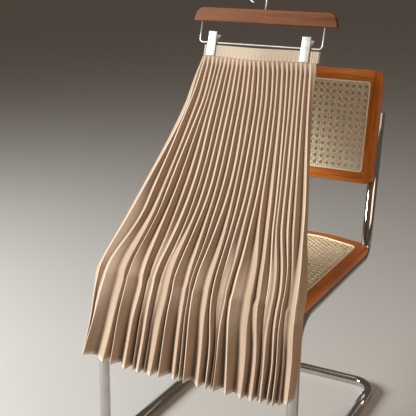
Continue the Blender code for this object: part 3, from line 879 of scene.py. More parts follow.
@dataclass
class Chair:
    """The cantilever side chair: bent tube, cane seat and cane back."""

    tube: float = 11.25 * MM
    spacing: float = 433.0 * MM
    depth: float = 563.0 * MM
    seat_tube: float = 408.8 * MM
    post_top: float = 728.0 * MM
    front_bend: float = 55.0 * MM
    post_bend: float = 32.0 * MM
    floor_bend: float = 48.0 * MM
    floor_joint: float = 440.0 * MM
    floor_z: float = 11.0 * MM
    seat_half: float = 229.8 * MM
    seat_rear: float = 404.0 * MM
    seat_bow: float = 30.0 * MM
    seat_bow_share: float = 0.55
    seat_corner: float = 32.0 * MM
    recline: float = radians(7.3)
    back_front: float = 429.0 * MM
    back_top: float = 821.0 * MM
    back_height: float = 247.0 * MM
    back_half: float = 222.5 * MM
    back_thickness: float = 20.0 * MM
    back_corner: float = 18.0 * MM
    seat_thickness: float = 16.6 * MM
    seat_corner_slack: float = 0.6
    seat_bow_radius: float = 128.0 * MM
    back_corner_slack: float = 0.5
    seat_reach: Pair = (0.42, 0.42)
    back_reach: Pair = (0.42, 0.21)
    tube_sides: int = 36
    bend_steps: int = 14

    def _seat_corners(self, inset: float) -> list[Pair]:
        """Corners of the seat's outline, from the front left round by the right.

        Args:
            inset: how far inside the outer edge it lies.

        Returns:
            The corners as (x, y).
        """
        half = self.seat_half - inset
        front = SEAT_FRONT + inset
        rear = self.seat_rear - inset
        bowed = half * self.seat_bow_share
        return [(-half, front), (half, front), (half, rear), (bowed, rear + self.seat_bow),
                (-bowed, rear + self.seat_bow), (-half, rear)]

    def _seat_radii(self, inset: float) -> list[float]:
        """Radii of the seat's corners."""
        near = self.seat_corner - inset * self.seat_corner_slack
        return [near, near, near, self.seat_bow_radius, self.seat_bow_radius, near]

    def _back_corners(self, inset: float) -> list[Pair]:
        """Corners of the back's outline, from its lower left.

        Args:
            inset: how far inside the outer edge it lies.

        Returns:
            The corners as (x, height).
        """
        half = self.back_half - inset
        top = self.back_height - inset
        return [(-half, inset), (half, inset), (half, top), (-half, top)]

    def _back_radii(self, inset: float) -> list[float]:
        """Radii of the back's corners."""
        return [self.back_corner - inset * self.back_corner_slack] * 4

    def _up(self) -> Vector:
        """Return the way up along the reclined back."""
        return Vector((0.0, sin(self.recline), cos(self.recline)))

    def _tube_paths(self) -> dict[str, list[Vector]]:
        """Middle lines of the two side tubes and the rear floor tube.

        Returns:
            Each tube's line, by its CAD node's name.
        """
        up = self._up()
        behind = Vector((0.0, cos(self.recline), -sin(self.recline)))
        line = Vector((0.0, self.back_front, self.back_top))
        line += behind * (self.back_thickness + GAP + self.tube)
        posts = [line + up * (z - line.z) / up.z for z in (self.post_top, self.seat_tube)]
        half = self.spacing / 2
        bends = [self.post_bend, self.front_bend, self.front_bend]
        paths = {}
        for sign, name in ((-1, "tube_left"), (1, "tube_right")):
            runner = [(0.0, self.seat_tube), (0.0, self.floor_z), (self.floor_joint, self.floor_z)]
            corners = [post + Vector((sign * half, 0.0, 0.0)) for post in posts]
            corners += [Vector((sign * half, y, z)) for y, z in runner]
            paths[name] = rounded_path(corners, bends, self.bend_steps)
        joint = self.floor_joint + GAP
        corners = [(-half, joint, self.floor_z), (-half, self.depth, self.floor_z),
                   (half, self.depth, self.floor_z), (half, joint, self.floor_z)]
        paths["tube_floor"] = rounded_path(corners, [self.floor_bend] * 2, self.bend_steps)
        return paths

    def build(self, bench: Bench) -> None:
        """Make the tubes and the two panels.

        Args:
            bench: makes the pieces.
        """
        for name, path in self._tube_paths().items():
            side = Z_AXIS if name == "tube_floor" else X_AXIS
            bench.piece(name + "_chrome", swept(path, self.tube, self.tube_sides, side), Slot.CHROME, [name])
        middle = (0.0, (SEAT_FRONT + self.seat_rear + self.seat_bow) / 2)
        flat = Matrix.Translation((0.0, 0.0, SEAT_TOP))
        CanePanel(
            "seat", self._seat_corners, self._seat_radii, middle, self.seat_reach, self.seat_thickness, flat
        ).build(bench)
        middle = (0.0, self.back_height / 2)
        foot = Vector((0.0, self.back_front, self.back_top)) - self._up() * self.back_height
        leant = Matrix.Translation(foot) @ Matrix.Rotation(pi / 2 - self.recline, 4, "X")
        CanePanel(
            "back", self._back_corners, self._back_radii, middle, self.back_reach, self.back_thickness, leant
        ).build(bench)


@dataclass
class Drape:
    """The form the skirt hangs in: its middle, from the waist seam over the seat's edge to the hem."""

    hip_radius: float = 60.0 * MM
    edge_radius: float = 19.2 * MM
    tilt_top: float = radians(15.0)
    tilt: float = radians(43.2)
    slope: float = 499.0 * MM
    sag: float = 5.0 * MM
    fade: float = 150.0 * MM
    band: float = 24.5 * MM
    open_left: float = -127.3 * MM
    open_right: float = 69.8 * MM

    def seam(self) -> Pair:
        """Return the waist seam's place (y, z).

        Returns:
            Its y and z.
        """
        y = SEAT_FRONT - self.edge_radius * cos(self.tilt) + self.slope * sin(self.tilt)
        z = SEAT_TOP + self.edge_radius * sin(self.tilt) + self.slope * cos(self.tilt)
        return (y + self.hip_radius * (cos(self.tilt_top) - cos(self.tilt)),
                z + self.hip_radius * (sin(self.tilt) - sin(self.tilt_top)))

    def open_share(self, x: float) -> float:
        """Return 1 in the middle of the open waist, to 0 at the clips that close it."""
        across = (2 * x - self.open_left - self.open_right) / (self.open_right - self.open_left)
        return 0.5 * (1 + cos(pi * across)) if abs(across) < 1 else 0.0

    def middle(self, down: float) -> tuple[float, float, float]:
        """Return place (y, z) and tilt of the middle, this far down from the waist seam.

        Args:
            down: the distance down, in metres; above the seam it is negative.

        Returns:
            Its y and z, and its angle from upright.
        """
        y, z = self.seam()
        if down <= 0:
            return y - down * sin(self.tilt_top), z - down * cos(self.tilt_top), self.tilt_top
        hip = self.hip_radius * (self.tilt - self.tilt_top)
        edge = self.edge_radius * self.tilt
        tilt = self.tilt_top + min(down, hip) / self.hip_radius
        y += self.hip_radius * (cos(tilt) - cos(self.tilt_top))
        z -= self.hip_radius * (sin(tilt) - sin(self.tilt_top))
        down -= hip
        if down > 0:
            slope = min(down, self.slope)
            y -= slope * sin(self.tilt)
            z -= slope * cos(self.tilt)
            down -= self.slope
        if down > 0:
            tilt = self.tilt - min(down, edge) / self.edge_radius
            y -= self.edge_radius * (cos(tilt) - cos(self.tilt))
            z -= self.edge_radius * (sin(self.tilt) - sin(tilt))
            down -= edge
        return y, z - max(0.0, down), tilt

    def place(self, x: float, down: float, out: float) -> Vector:
        """Return the point at x, this far down, and this far out of the middle to the front.

        Args:
            x: the place across.
            down: the distance down, in metres.
            out: the distance out of the middle, in metres.

        Returns:
            The point.
        """
        fade = max(0.0, 1 - down / self.fade) if down > 0 else 1 + down / (2 * self.band)
        y, z, tilt = self.middle(down + self.sag * self.open_share(x) * fade)
        return Vector((x, y - out * cos(tilt), z + out * sin(tilt)))


def eased(stops: Sequence[float], values: Sequence[float], place: float) -> float:
    """Read a smooth curve through values at stops, with no overshoot.

    Args:
        stops: rising places.
        values: the value at each.
        place: where it is read.

    Returns:
        The value.
    """
    last = len(stops) - 1
    if place >= stops[last]:
        return values[last]
    if place <= stops[0]:
        return values[0]
    index = max(i for i in range(last) if stops[i] <= place)
    rises = [(b - a) / (t - s) for s, t, a, b in zip(stops, stops[1:], values, values[1:])]

    def slope(at: int) -> float:
        """Return the curve's slope at a stop.

        Args:
            at: the stop's index.

        Returns:
            The slope, 0 where the curve turns.
        """
        if at in (0, last):
            return rises[min(at, last - 1)]
        before, after = rises[at - 1], rises[at]
        return 0.0 if before * after <= 0 else 2 * before * after / (before + after)

    width = stops[index + 1] - stops[index]
    t = (place - stops[index]) / width
    return ((2 * t ** 3 - 3 * t ** 2 + 1) * values[index] + (t ** 3 - 2 * t ** 2 + t) * width * slope(index)
            + (3 * t ** 2 - 2 * t ** 3) * values[index + 1] + (t ** 3 - t ** 2) * width * slope(index + 1))


@dataclass(frozen=True)
class Fold:
    """One pleat, in mm: where its ridge runs at five places down the skirt, and its lower part's shape."""

    hip: float
    thigh: float
    edge: float
    fall: float
    hem: float
    rise: float
    depth: float
    tucked: float = 0.0


FOLDS = (
    Fold(-141, -141, -172, -195, -225, 12, 13),
    Fold(-124, -119, -130, -150, -176, 21, 10),
    Fold(-112, -109, -121, -140, -158, 4, 15),
    Fold(-103, -90, -88, -106, -124, 16, 14),
    Fold(-92, -70, -78, -92, -108, 6, 16, 7),
    Fold(-82, -54, -61, -75, -92, 11, 10),
    Fold(-69, -41, -50, -65, -82, 5, 12, 7),
    Fold(-57, -28, -28, -44, -63, 18, 8),
    Fold(-45, -15, -19, -31, -44, 7, 14),
    Fold(-33, 1, 9, 1, -8, 15, 15),
    Fold(-21, 13, 17, 10, 2, 4, 15),
    Fold(-9, 28, 26, 20, 12, 6, 10),
    Fold(3, 44, 57, 52, 44, 17, 13),
    Fold(15, 55, 66, 68, 61, 8, 14),
    Fold(26, 68, 75, 77, 69, 4, 14, 7),
    Fold(37, 81, 94, 86, 77, 6, 9),
    Fold(48, 94, 106, 105, 104, 11, 14),
    Fold(58, 110, 144, 143, 136, 19, 11),
    Fold(70, 128, 160, 164, 158, 14, 10),
    Fold(80, 139, 172, 173, 167, 4, 13, 7),
    Fold(89, 146, 186, 182, 176, 8, 6),
    Fold(99, 157, 198, 198, 189, 9, 12),
    Fold(108, 169, 206, 206, 200, 4, 13),
    Fold(118, 180, 215, 216, 211, 5, 10, 6),
    Fold(131, 199, 232, 234, 230, 14, 9),
)


@dataclass
class Line:
    """A ridge of the section and the valley on its left, in mm."""

    ridge: float
    tuck: float
    valley: float
    depth: float
    index: int


@dataclass
class Corner:
    """A corner of the section in mm, with 1 for a ridge's crown and -1 for a valley's bottom, where the
    highlight and the shade are painted.
    """

    x: float
    out: float
    rounding: float = 0.0
    crown: float = 0.0


@dataclass
class PleatedSkirt:
    """The two pleated panels, as thin cloth on the form they hang in."""

    drape: Drape
    cloth: float = 1.2 * MM
    stops: tuple[float, ...] = (0, 130, 380, 536, 620, 721)
    waist_first: float = -152.0
    waist_pitch: float = 10.375
    left: tuple[float, ...] = (-156, -157, -181, -203, -216, -240)
    right: tuple[float, ...] = (109, 138, 205, 246, 247, 238)
    last_rise: float = 8.0
    last_depth: float = 15.0
    depth_places: tuple[float, ...] = (0, 12, 30, 80, 130, 380, 530, 740)
    front_crest: tuple[float, ...] = (1.9, 4.4, 7.0, 9.5, 11.0, 16.0, 22.5, 29.0)
    back_crest: tuple[float, ...] = (1.9, 3.8, 5.5, 7.5, 8.5, 12.0, 16.5, 16.5)
    floor: tuple[float, ...] = (0.9, 1.2, 1.5, 1.8, 2.0, 2.2, 1.6, 1.4)
    hem_places: tuple[float, ...] = (-245, -225, -176, -100, 0, 60, 205, 235, 255)
    hem_drops: tuple[float, ...] = (16, 0, 5, 9, 2, 4, 1, -12, -13)
    lean: float = 0.52
    lean_jitter: float = 0.05
    depth_jitter: float = 0.12
    share_waist: float = 0.5
    share_thigh: float = 0.56
    view_slope: float = 0.52
    deepest_pressed: float = 11.0
    widest_light: float = 5.0
    edge_fold: float = 10.0
    edge_level: float = 0.8
    flare: float = 4.5
    flare_end: float = 120.0
    flare_shape: float = 0.6
    deeper_places: tuple[float, ...] = (380, 500, 560, 620, 721)
    deeper: tuple[float, ...] = (0.9, 0.6, 0.65, 1.15, 1.9)
    bend_middle: float = 535.8
    bend_half: float = 7.2
    bend_reach: float = 49.7
    bend_radius: float = 150.0
    bend_jitter: float = 3.5
    side_level: float = 0.5
    side_turn: float = 1.6
    side_slope: float = 0.35
    inset_right: float = 8.0
    back_inset: float = 12.0
    bow_front: float = 9.0
    bow_back: float = 4.0
    # how strong the painted highlight is on a ridge's crown
    crown: float = 0.7
    crown_jitter: float = 0.3
    ridge_round: float = 1.2
    valley_round: float = 2.0
    corner_steps: int = 4
    face_steps: int = 3
    sway: float = 0.6
    sway_from: float = 400.0
    sway_wave: float = 190.0
    sway_wave_step: float = 31.0
    belly: float = 0.045
    belly_from: float = 300.0
    belly_wave: float = 53.0
    least_face: float = 1.5
    most_rounded: float = 0.42
    open_sooner: float = 80.0
    open_sooner_folds: int = 12
    open_margin: float = 10.0
    bend_dip: float = 2.2
    seam_out: float = 0.15
    # the painted highlight grows from its least share to full by this far down; the painted valley shade
    # grows from its least share to full at the seat's edge
    highlight_from: float = 200.0
    least_highlight: float = 0.45
    least_valley_shade: float = 0.35
    cut_edge: float = 4.0
    length: float = 721.0
    seam_rows: tuple[float, ...] = (0.3, 2, 4, 7, 11, 16, 22, 29, 37, 46, 56, 68)
    row_steps: tuple[Pair, ...] = ((508.0, 13.0), (556.0, 3.0))
    fall_rows: int = 16

    def _ridge(self, number: int, down: float) -> float:
        """Return where a fold's ridge runs at this distance down, swaying a little.

        Args:
            number: the fold's place in FOLDS.
            down: the distance down from the waist seam, in mm.

        Returns:
            The ridge's x, in mm.
        """
        fold = FOLDS[number]
        waist = self.waist_first + self.waist_pitch * number
        sway = self.sway * min(1.0, down / self.sway_from)
        turn = 2 * pi * down / (self.sway_wave + self.sway_wave_step * (number % 5)) + 2.4 * number
        places = (waist, fold.hip, fold.thigh, fold.edge, fold.fall, fold.hem)
        return eased(self.stops, places, down) + sway * sin(turn)

    def _fold_lines(self, down: float) -> list[Line]:
        """Return the section's ridges and valleys at this distance down; the first and last are the sides.

        Args:
            down: the distance down from the waist seam, in mm.

        Returns:
            One line for each ridge, from left to right.
        """
        share = self.share_waist + (self.share_thigh - self.share_waist) * min(1.0, down / self.stops[2])
        flare = self.flare * sin(pi * min(1.0, down / self.flare_end) ** self.flare_shape)
        deeper = eased(self.deeper_places, self.deeper, down)
        ridges = [eased(self.stops, self.left, down) - flare]
        ridges += [self._ridge(number, down) for number in range(len(FOLDS))]
        ridges.append(eased(self.stops, self.right, down))
        side = Fold(*self.right[1:], self.last_rise, self.last_depth)
        lines = [Line(ridges[0], 0.0, ridges[0], 0.0, 0)]
        for index, fold in enumerate((*FOLDS, side), 1):
            pitch = ridges[index] - ridges[index - 1]
            if index == 1:
                pitch -= self.edge_fold * min(1.0, down / self.stops[1])
            loose = self._looseness(index, down)
            lean = self.lean + self.lean_jitter * sin(2.4 * index + 1.0)
            close = min(share * pitch, self.deepest_pressed) * (1 + self.depth_jitter * sin(1.9 * index))
            pressed_reach = min(lean * pitch, self.widest_light + self.view_slope * close)
            free = fold.depth * deeper
            wide = min(fold.rise + self.view_slope * (free - fold.depth), pitch - self.least_face)
            reach = pressed_reach * (1 - loose) + wide * loose
            depth = close * (1 - loose) + free * loose
            lines.append(Line(ridges[index], fold.tucked * loose, ridges[index] - reach, depth, index))
        return lines

    def _looseness(self, index: int, down: float) -> float:
        """Return 0 where a fold still keeps its set crease to 1 where it hangs free; the left ones open
        sooner.

        Args:
            index: the fold's number, from 1 on the left.
            down: the distance down from the waist seam, in mm.

        Returns:
            A share from 0 to 1.
        """
        start = self.stops[2] - self.open_sooner * max(0.0, 1 - index / self.open_sooner_folds)
        share = min(1.0, max(0.0, (down - start) / (self.stops[3] - self.open_margin - start)))
        return share * share * (3 - 2 * share)

    def _bend_fall(self, down: float) -> float:
        """Return how far the crests sink where the cloth turns over the seat's edge.

        Args:
            down: the distance down from the waist seam, in mm.

        Returns:
            The fall, in mm.
        """
        away = abs(down - self.bend_middle)
        if away >= self.bend_reach:
            return 0.0
        fall = (self.bend_reach - max(away, self.bend_half)) ** 2 / (2 * self.bend_radius)
        return fall + self.bend_dip * max(0.0, 1 - away / self.bend_half)

    @staticmethod
    def _mirrored(lines: list[Line], inset: float) -> list[Line]:
        """Return the same folds in the other order, up to a right side that is inset.

        Args:
            lines: the front's lines.
            inset: how far the right side comes in.

        Returns:
            The back's lines.
        """
        left, right = lines[0].ridge, lines[-1].ridge
        span = (right - inset - left) / (right - left)

        def other(x: float) -> float:
            """Return a place as the mirrored panel has it."""
            return left + (right - x) * span

        turned = [Line(left, 0.0, left, 0.0, 0)]
        for after, line in zip(lines[-2::-1], lines[:0:-1]):
            turned.append(Line(other(after.ridge), after.tuck, other(line.valley), line.depth, line.index))
        return turned

    def _corners(self, down: float, front: bool) -> list[Corner]:
        """Return the section's corners from the left seam to the right one.

        Args:
            down: the distance down from the waist seam, in mm.
            front: whether it is the front panel's.

        Returns:
            The corners, the first and last on the seams.
        """
        lines = self._fold_lines(down)
        hip_share = min(1.0, down / self.stops[1])
        seam_right = lines[-1].ridge - self.inset_right * hip_share
        seam_left = lines[0].ridge + self.side_turn * hip_share
        if not front:
            lines = self._mirrored(lines, self.back_inset * hip_share)
        crest = eased(self.depth_places, self.front_crest if front else self.back_crest, down)
        floor = eased(self.depth_places, self.floor, down)
        side_crest = crest - self._bend_fall(down) if front else crest
        side = side_crest * self.side_level
        turn = min(self.side_turn, side * 0.6)
        fold = 1.0 + self.edge_fold * hip_share
        level = side + (side_crest * self.edge_level - side) * hip_share
        left = lines[0].ridge
        corners = [Corner(seam_left, self.seam_out), Corner(seam_left, turn, 0.5),
                   Corner(left, turn + 0.5 + (side - turn) * 0.2, 0.8, 0.5),
                   Corner(left + fold, level, self.ridge_round, 1.0)]
        for line in lines[1:]:
            top = crest
            if front:
                top -= self._bend_fall(down + self.bend_jitter * sin(2.7 * line.index))
            # this ridge's painted highlight strength
            crown = self.crown + self.crown_jitter * sin(2.3 * line.index)
            # the valley's -1 asks for painted shade there
            corners += [Corner(line.valley, max(floor, top - line.depth), self.valley_round, -1.0),
                        Corner(line.ridge, top - line.tuck, self.ridge_round, crown)]
        before, valley, last = corners[-3:]
        last.out = side
        valley.out = max(valley.out, side + self.side_slope * (before.out - side))
        # no painted shade in the last valley, and a weaker painted highlight on the side's edge
        valley.crown, last.crown = 0.0, 0.4
        return corners + [Corner(seam_right, turn, 0.5), Corner(seam_right, self.seam_out)]

    def _rounded(self, down: float, front: bool) -> list[tuple[Vector, float]]:
        """Return the section with rounded corners and slightly bellied faces.

        Args:
            down: the distance down, in mm.
            front: whether it is the front panel's.

        Returns:
            Each point with 1 on a ridge's crown, -1 at a valley's bottom and 0 on the faces: its shares of
            painted highlight and painted shade.
        """
        corners = self._corners(down, front)
        places = [Vector((corner.x, corner.out)) for corner in corners]
        belly = self.belly * min(1.0, down / self.belly_from)
        points: list[tuple[Vector, float]] = [(places[0], 0.0)]
        previous_end = places[0]
        for index, corner in enumerate(corners[1:], 1):
            place = start = end = places[index]
            pull = 0.0
            if index < len(corners) - 1:
                back, ahead = places[index - 1] - place, places[index + 1] - place
                pull = min(corner.rounding, self.most_rounded * min(back.length, ahead.length))
                start = place + back.normalized() * pull
                end = place + ahead.normalized() * pull
            run = start - previous_end
            bulge = Vector((-run.y, run.x)) * (belly * sin(down / self.belly_wave + 1.7 * index))
            for step in range(1, self.face_steps):
                t = step / self.face_steps
                points.append((previous_end + run * t + bulge * sin(pi * t), 0.0))
            for step in range(self.corner_steps + 1):
                t = step / self.corner_steps
                curve = start * (1 - t) ** 2 + place * 2 * t * (1 - t) + end * t ** 2
                points.append((curve, corner.crown * (sin(pi * t) if corner.crown > 0 else 1.0)))
                if pull == 0.0:
                    break
            previous_end = end
        return points

    def _rows(self) -> list[float]:
        """Return the distances down, in mm, at which the cloth is shaped, closer where it bends.

        Returns:
            Rising distances.
        """
        rows = list(self.seam_rows)
        for until, step in self.row_steps:
            while rows[-1] < until:
                rows.append(rows[-1] + step)
        last = rows[-1]
        count = self.fall_rows
        return rows + [last + (self.length - last) * step / count for step in range(1, count + 1)]

    def _panel(self, front: bool) -> Cage:
        """Lay a panel's cloth on the form.

        Args:
            front: whether it is the front panel's.

        Returns:
            The sheet, with no thickness yet.
        """
        rows = self._rows()
        sections = [self._rounded(down, front) for down in rows]
        lengths = [running_lengths([point for point, _ in section]) for section in sections]
        bow = self.bow_front if front else self.bow_back
        sign = 1 if front else -1
        edge, hem = self.stops[3], self.stops[5]

        def shape(column: int, row: int) -> tuple[Vector, Pair, Pair]:
            """Return a point's place, its place on the flat cloth, and its painted highlight and painted
            shade shares.

            Args:
                column: the point's number across.
                row: its number down.

            Returns:
                The two places and the two shares.
            """
            down = rows[row]
            point, crown = sections[row][column]
            lower = max(0.0, (down - edge) / (hem - edge))
            drop = eased(self.hem_places, self.hem_drops, point.x) * lower
            out = point.y + bow * exp(-2 * down * MM / self.drape.fade) * self.drape.open_share(point.x * MM)
            # painted highlight on the ridges, full at the cut edge; painted shade in the valleys, growing
            # down to the seat's edge
            at_cut = max(0.0, 1 - (self.length - down) / self.cut_edge)
            highlight_grown = self.least_highlight + (1 - self.least_highlight) * min(1.0, down / self.highlight_from)
            valley_shade_grown = self.least_valley_shade + (1 - self.least_valley_shade) * min(1.0, down / edge)
            flat = ((lengths[row][column] - lengths[row][-1] / 2) * MM, down * MM)
            place = self.drape.place(point.x * MM, (down + drop) * MM, sign * out * MM)
            return place, flat, (max(crown * highlight_grown, at_cut), max(0.0, -crown) * valley_shade_grown)

        return cloth_sheet(len(sections[0]), len(rows), shape, turned=not front)

    def _width(self, down: float, front: bool) -> float:
        """Return how wide the panel's cloth is at this distance down, in metres."""
        return running_lengths([point for point, _ in self._rounded(down, front)])[-1] * MM

    def build(self, bench: Bench) -> None:
        """Make both panels.

        Args:
            bench: makes the pieces.
        """
        cuts = ((True, "skirt_front", 1.21, 0.43), (False, "skirt_back", 0.87, 0.39))
        for front, name, width, cut in cuts:
            cage = self._panel(front)
            area = sum(face.calc_area() for face in cage.faces)
            item = bench.piece(name + "_cloth", cage, Slot.CLOTH, [name])
            widths = [self._width(down, front) for down in (self.seam_rows[0], self.length)]
            LOG.info("%s: %.3f square metres, %.3f to %.3f m wide", name, area, *widths)
            thicken(item, self.cloth)


@dataclass
class Waistband:
    """The smooth front band and the gathered elastic band that wraps round the right side."""

    drape: Drape
    height: float = 24.5 * MM
    wall: float = 2.2 * MM
    centre: float = 1.4 * MM
    left: float = -156.5 * MM
    right: float = 112.5 * MM
    seam: float = 92.5 * MM
    gather_pitch: float = 4.5 * MM
    gather: float = 0.55 * MM
    pucker: float = 0.22 * MM
    pucker_wave: float = 8.7 * MM
    swell: float = 0.3 * MM
    swell_wave: float = 61.0 * MM
    bow_front: float = 9.0 * MM
    bow_back: float = 4.0 * MM
    step: float = 0.75 * MM
    rows: int = 13
    turn_steps: int = 8
    edge_round: float = 0.9 * MM

    def _stretch(self, start: float, end: float) -> list[float]:
        """Return places from start to end, about a step apart."""
        count = int(abs(end - start) / self.step)
        return [start + (end - start) * index / count for index in range(count + 1)]

    def _line(self, front: bool) -> list[Vector]:
        """Return the band's middle line as (x, out).

        Args:
            front: whether it is the front band.

        Returns:
            The line's points; the back's goes round the right side.
        """
        centre, right = self.centre, self.right
        if front:
            places = self._stretch(self.left, self.seam - GAP)
            return [Vector((x, centre + self.bow_front * self.drape.open_share(x))) for x in places]
        places = self._stretch(self.left, right)
        line = [Vector((x, -centre - self.bow_back * self.drape.open_share(x))) for x in places]
        angles = [pi * index / self.turn_steps for index in range(1, self.turn_steps)]
        line += [Vector((right + centre * sin(angle), -centre * cos(angle))) for angle in angles]
        return line + [Vector((x, centre)) for x in self._stretch(right, self.seam)]

    def _lift(self, front: bool, run: float, share: float) -> float:
        """Return how far the cloth stands out: puckered at its seam, or gathered all over.

        Args:
            front: whether it is the front band.
            run: the distance along the band.
            share: the height's share, 0 at the top and 1 at the seam.

        Returns:
            The lift.
        """
        if front:
            lift = self.pucker * sin(2 * pi * run / self.pucker_wave + 3 * sin(run * 41)) * share ** 2
            return lift + self.swell * sin(2 * pi * run / self.swell_wave) * sin(pi * share)
        lift = self.gather * sin(2 * pi * run / self.gather_pitch + 1.3 * sin(run * 140))
        return lift * (0.75 + 0.25 * sin(run * 330 + share * 5))

    def _band(self, front: bool) -> Cage:
        """Lay the band's cloth along its line.

        Args:
            front: whether it is the front band.

        Returns:
            The sheet, with no thickness yet.
        """
        line = self._line(front)
        along = running_lengths(line)

        def shape(column: int, row: int) -> tuple[Vector, Pair, Pair]:
            """Return a point's place, its place on the flat cloth, and no painted highlight or painted
            shade.

            Args:
                column: the point's number along.
                row: its number down.

            Returns:
                The two places and the two shares.
            """
            share = row / (self.rows - 1)
            run = along[column]
            way = (line[min(len(line) - 1, column + 1)] - line[max(0, column - 1)]).normalized()
            normal = Vector((-way.y, way.x)) * (1 if front else -1)
            x, out = line[column] + normal * self._lift(front, run, share)
            place = self.drape.place(x, -self.height * (1 - share), out)
            return place, (run, share * self.height), (0.0, 0.0)

        return cloth_sheet(len(line), self.rows, shape, turned=not front)

    def build(self, bench: Bench) -> None:
        """Make both bands.

        Args:
            bench: makes the pieces.
        """
        for front, name, width in ((True, "waistband_front", 0.25), (False, "waistband_back", 0.31)):
            item = bench.piece(name + "_cloth", self._band(front), Slot.BAND, [name])
            thicken(item, self.wall)
            edge = item.modifiers.new("folded_edge", "BEVEL")
            edge.width = self.edge_round
            edge.segments = 3
            edge.limit_method = "ANGLE"
            edge.angle_limit = radians(60)


@dataclass
class ClipHanger:
    """Wooden bar, wire, hook and two spring clips, in a frame on the waist seam that leans back."""

    drape: Drape
    bar_x: float = -22.5 * MM
    bar_length: float = 336.0 * MM
    bar_bottom: float = 76.0 * MM
    bar_height: float = 30.0 * MM
    bar_thickness: float = 13.0 * MM
    bar_slant: float = 8.0 * MM
    bar_radii: tuple[float, ...] = (2.0 * MM, 2.0 * MM, 18.0 * MM, 18.0 * MM)
    bar_rounding: float = 3.5 * MM
    wire: float = 1.6 * MM
    wire_z: float = 30.0 * MM
    wire_left: float = -171.0 * MM
    wire_right: float = 117.0 * MM
    wire_bend: float = 8.0 * MM
    hook: float = 1.8 * MM
    shank: float = 34.0 * MM
    hook_rise: float = 2.0 * MM
    hook_bend: float = 22.0 * MM
    hook_sweep: float = radians(250.0)
    hook_steps: int = 40
    clips: tuple[tuple[str, float], ...] = (("left", -139.0 * MM), ("right", 81.5 * MM))
    clip_width: float = 19.5 * MM
    clip_bottom: float = 0.5 * MM
    clip_top: float = 54.0 * MM
    clip_plate: float = 1.8 * MM
    clip_rounding: float = 0.45 * MM
    jaw: float = 2.5 * MM
    cheek: float = 0.9 * MM
    cheek_depth: float = 4.2 * MM
    cheek_from: float = 34.0 * MM
    cheek_share: float = 0.9
    lip: float = 0.9 * MM
    lip_share: float = 0.94
    spring_wire: float = 0.35 * MM
    spring_length: float = 12.2 * MM
    spring_turns: int = 15
    spring_steps: int = 14

    def _rig(self) -> Matrix:
        """Return the frame on the waist seam."""
        return Matrix.Translation((0.0, *self.drape.seam())) @ Matrix.Rotation(-self.drape.tilt_top, 4, "X")

    def _bar(self) -> Cage:
        """The bar: flat bottom, ends that slope in to a rounded top.

        Returns:
            The bar's mesh, in the hanger's frame.
        """
        half = self.bar_length / 2
        top = self.bar_bottom + self.bar_height
        corners = [(self.bar_x - half, self.bar_bottom), (self.bar_x + half, self.bar_bottom),
                   (self.bar_x + half - self.bar_slant, top), (self.bar_x - half + self.bar_slant, top)]
        cage = bmesh.new()
        face = outline_loop(cage, corners, self.bar_radii, 10)
        extruded(cage, [face], Vector((0.0, 0.0, self.bar_thickness)))
        bmesh.ops.translate(cage, verts=cage.verts, vec=(0.0, 0.0, -self.bar_thickness / 2))
        round_edges(cage, rims(cage), self.bar_rounding, 6)
        bmesh.ops.rotate(cage, verts=cage.verts, cent=(0, 0, 0), matrix=Matrix.Rotation(pi / 2, 3, "X"))
        return cage

    def _clip_front(self, x: float) -> Cage:
        """A clip's front plate: its upper half has folded cheeks that hold the spring, its foot a lip.

        Args:
            x: the clip's middle.

        Returns:
            The plate's mesh, in the hanger's frame.
        """
        inner = -self.jaw - GAP
        outer = inner - self.clip_plate
        width, foot, top = self.clip_width, self.clip_bottom, self.clip_top
        tall = (top - self.cheek_from) * self.cheek_share
        plate = ((width, self.clip_plate, top - foot), (x, inner - self.clip_plate / 2, (top + foot) / 2))
        lip = ((width * self.lip_share, self.lip, self.lip), (x, outer, foot + self.lip))
        blocks = [plate, lip]
        for sign in (-1, 1):
            side = x + sign * (width - self.cheek) / 2
            place = (side, outer + self.cheek_depth / 2, self.cheek_from + tall / 2)
            blocks.append(((self.cheek, self.cheek_depth, tall), place))
        cage = bmesh.new()
        for size, place in blocks:
            verts = bmesh.ops.create_cube(cage, size=1.0)["verts"]
            bmesh.ops.scale(cage, verts=verts, vec=size)
            bmesh.ops.translate(cage, verts=verts, vec=place)
        round_edges(cage, cage.edges, self.clip_rounding, 3)
        return cage

    def _spring(self, x: float) -> Cage:
        """A clip's spring: close coils of thin wire round the hanger's wire.

        Args:
            x: the clip's middle.

        Returns:
            The coil's mesh, in the hanger's frame.
        """
        radius = self.wire + GAP + self.spring_wire
        steps = self.spring_steps * self.spring_turns
        path = []
        for step in range(steps + 1):
            angle = 2 * pi * self.spring_turns * step / steps
            across = x + self.spring_length * (step / steps - 0.5)
            path.append(Vector((across, radius * cos(angle), self.wire_z + radius * sin(angle))))
        return swept(path, self.spring_wire, 8, X_AXIS)

    def _loop(self) -> Cage:
        """The wire that hangs from the bar and carries the clips.

        Returns:
            The wire's mesh, in the hanger's frame.
        """
        ends = self.bar_bottom - GAP
        corners = [(self.wire_left, 0.0, ends), (self.wire_left, 0.0, self.wire_z),
                   (self.wire_right, 0.0, self.wire_z), (self.wire_right, 0.0, ends)]
        path = rounded_path(corners, [self.wire_bend] * 2, 10)
        return swept(path, self.wire, 16, Y_AXIS)

    def _hook(self) -> Cage:
        """The hook: a straight shank and a bend over the clothes rail.

        Returns:
            The hook's mesh, in the hanger's frame.
        """
        foot = self.bar_bottom + self.bar_height + GAP
        top = foot + self.shank
        centre = Vector((self.bar_x - self.hook_bend, 0.0, top + self.hook_rise))
        path = [Vector((self.bar_x, 0.0, foot)), Vector((self.bar_x, 0.0, top))]
        for step in range(self.hook_steps + 1):
            angle = self.hook_sweep * step / self.hook_steps
            path.append(centre + self.hook_bend * Vector((cos(angle), 0.0, sin(angle))))
        return swept(path, self.hook, 16, Y_AXIS)

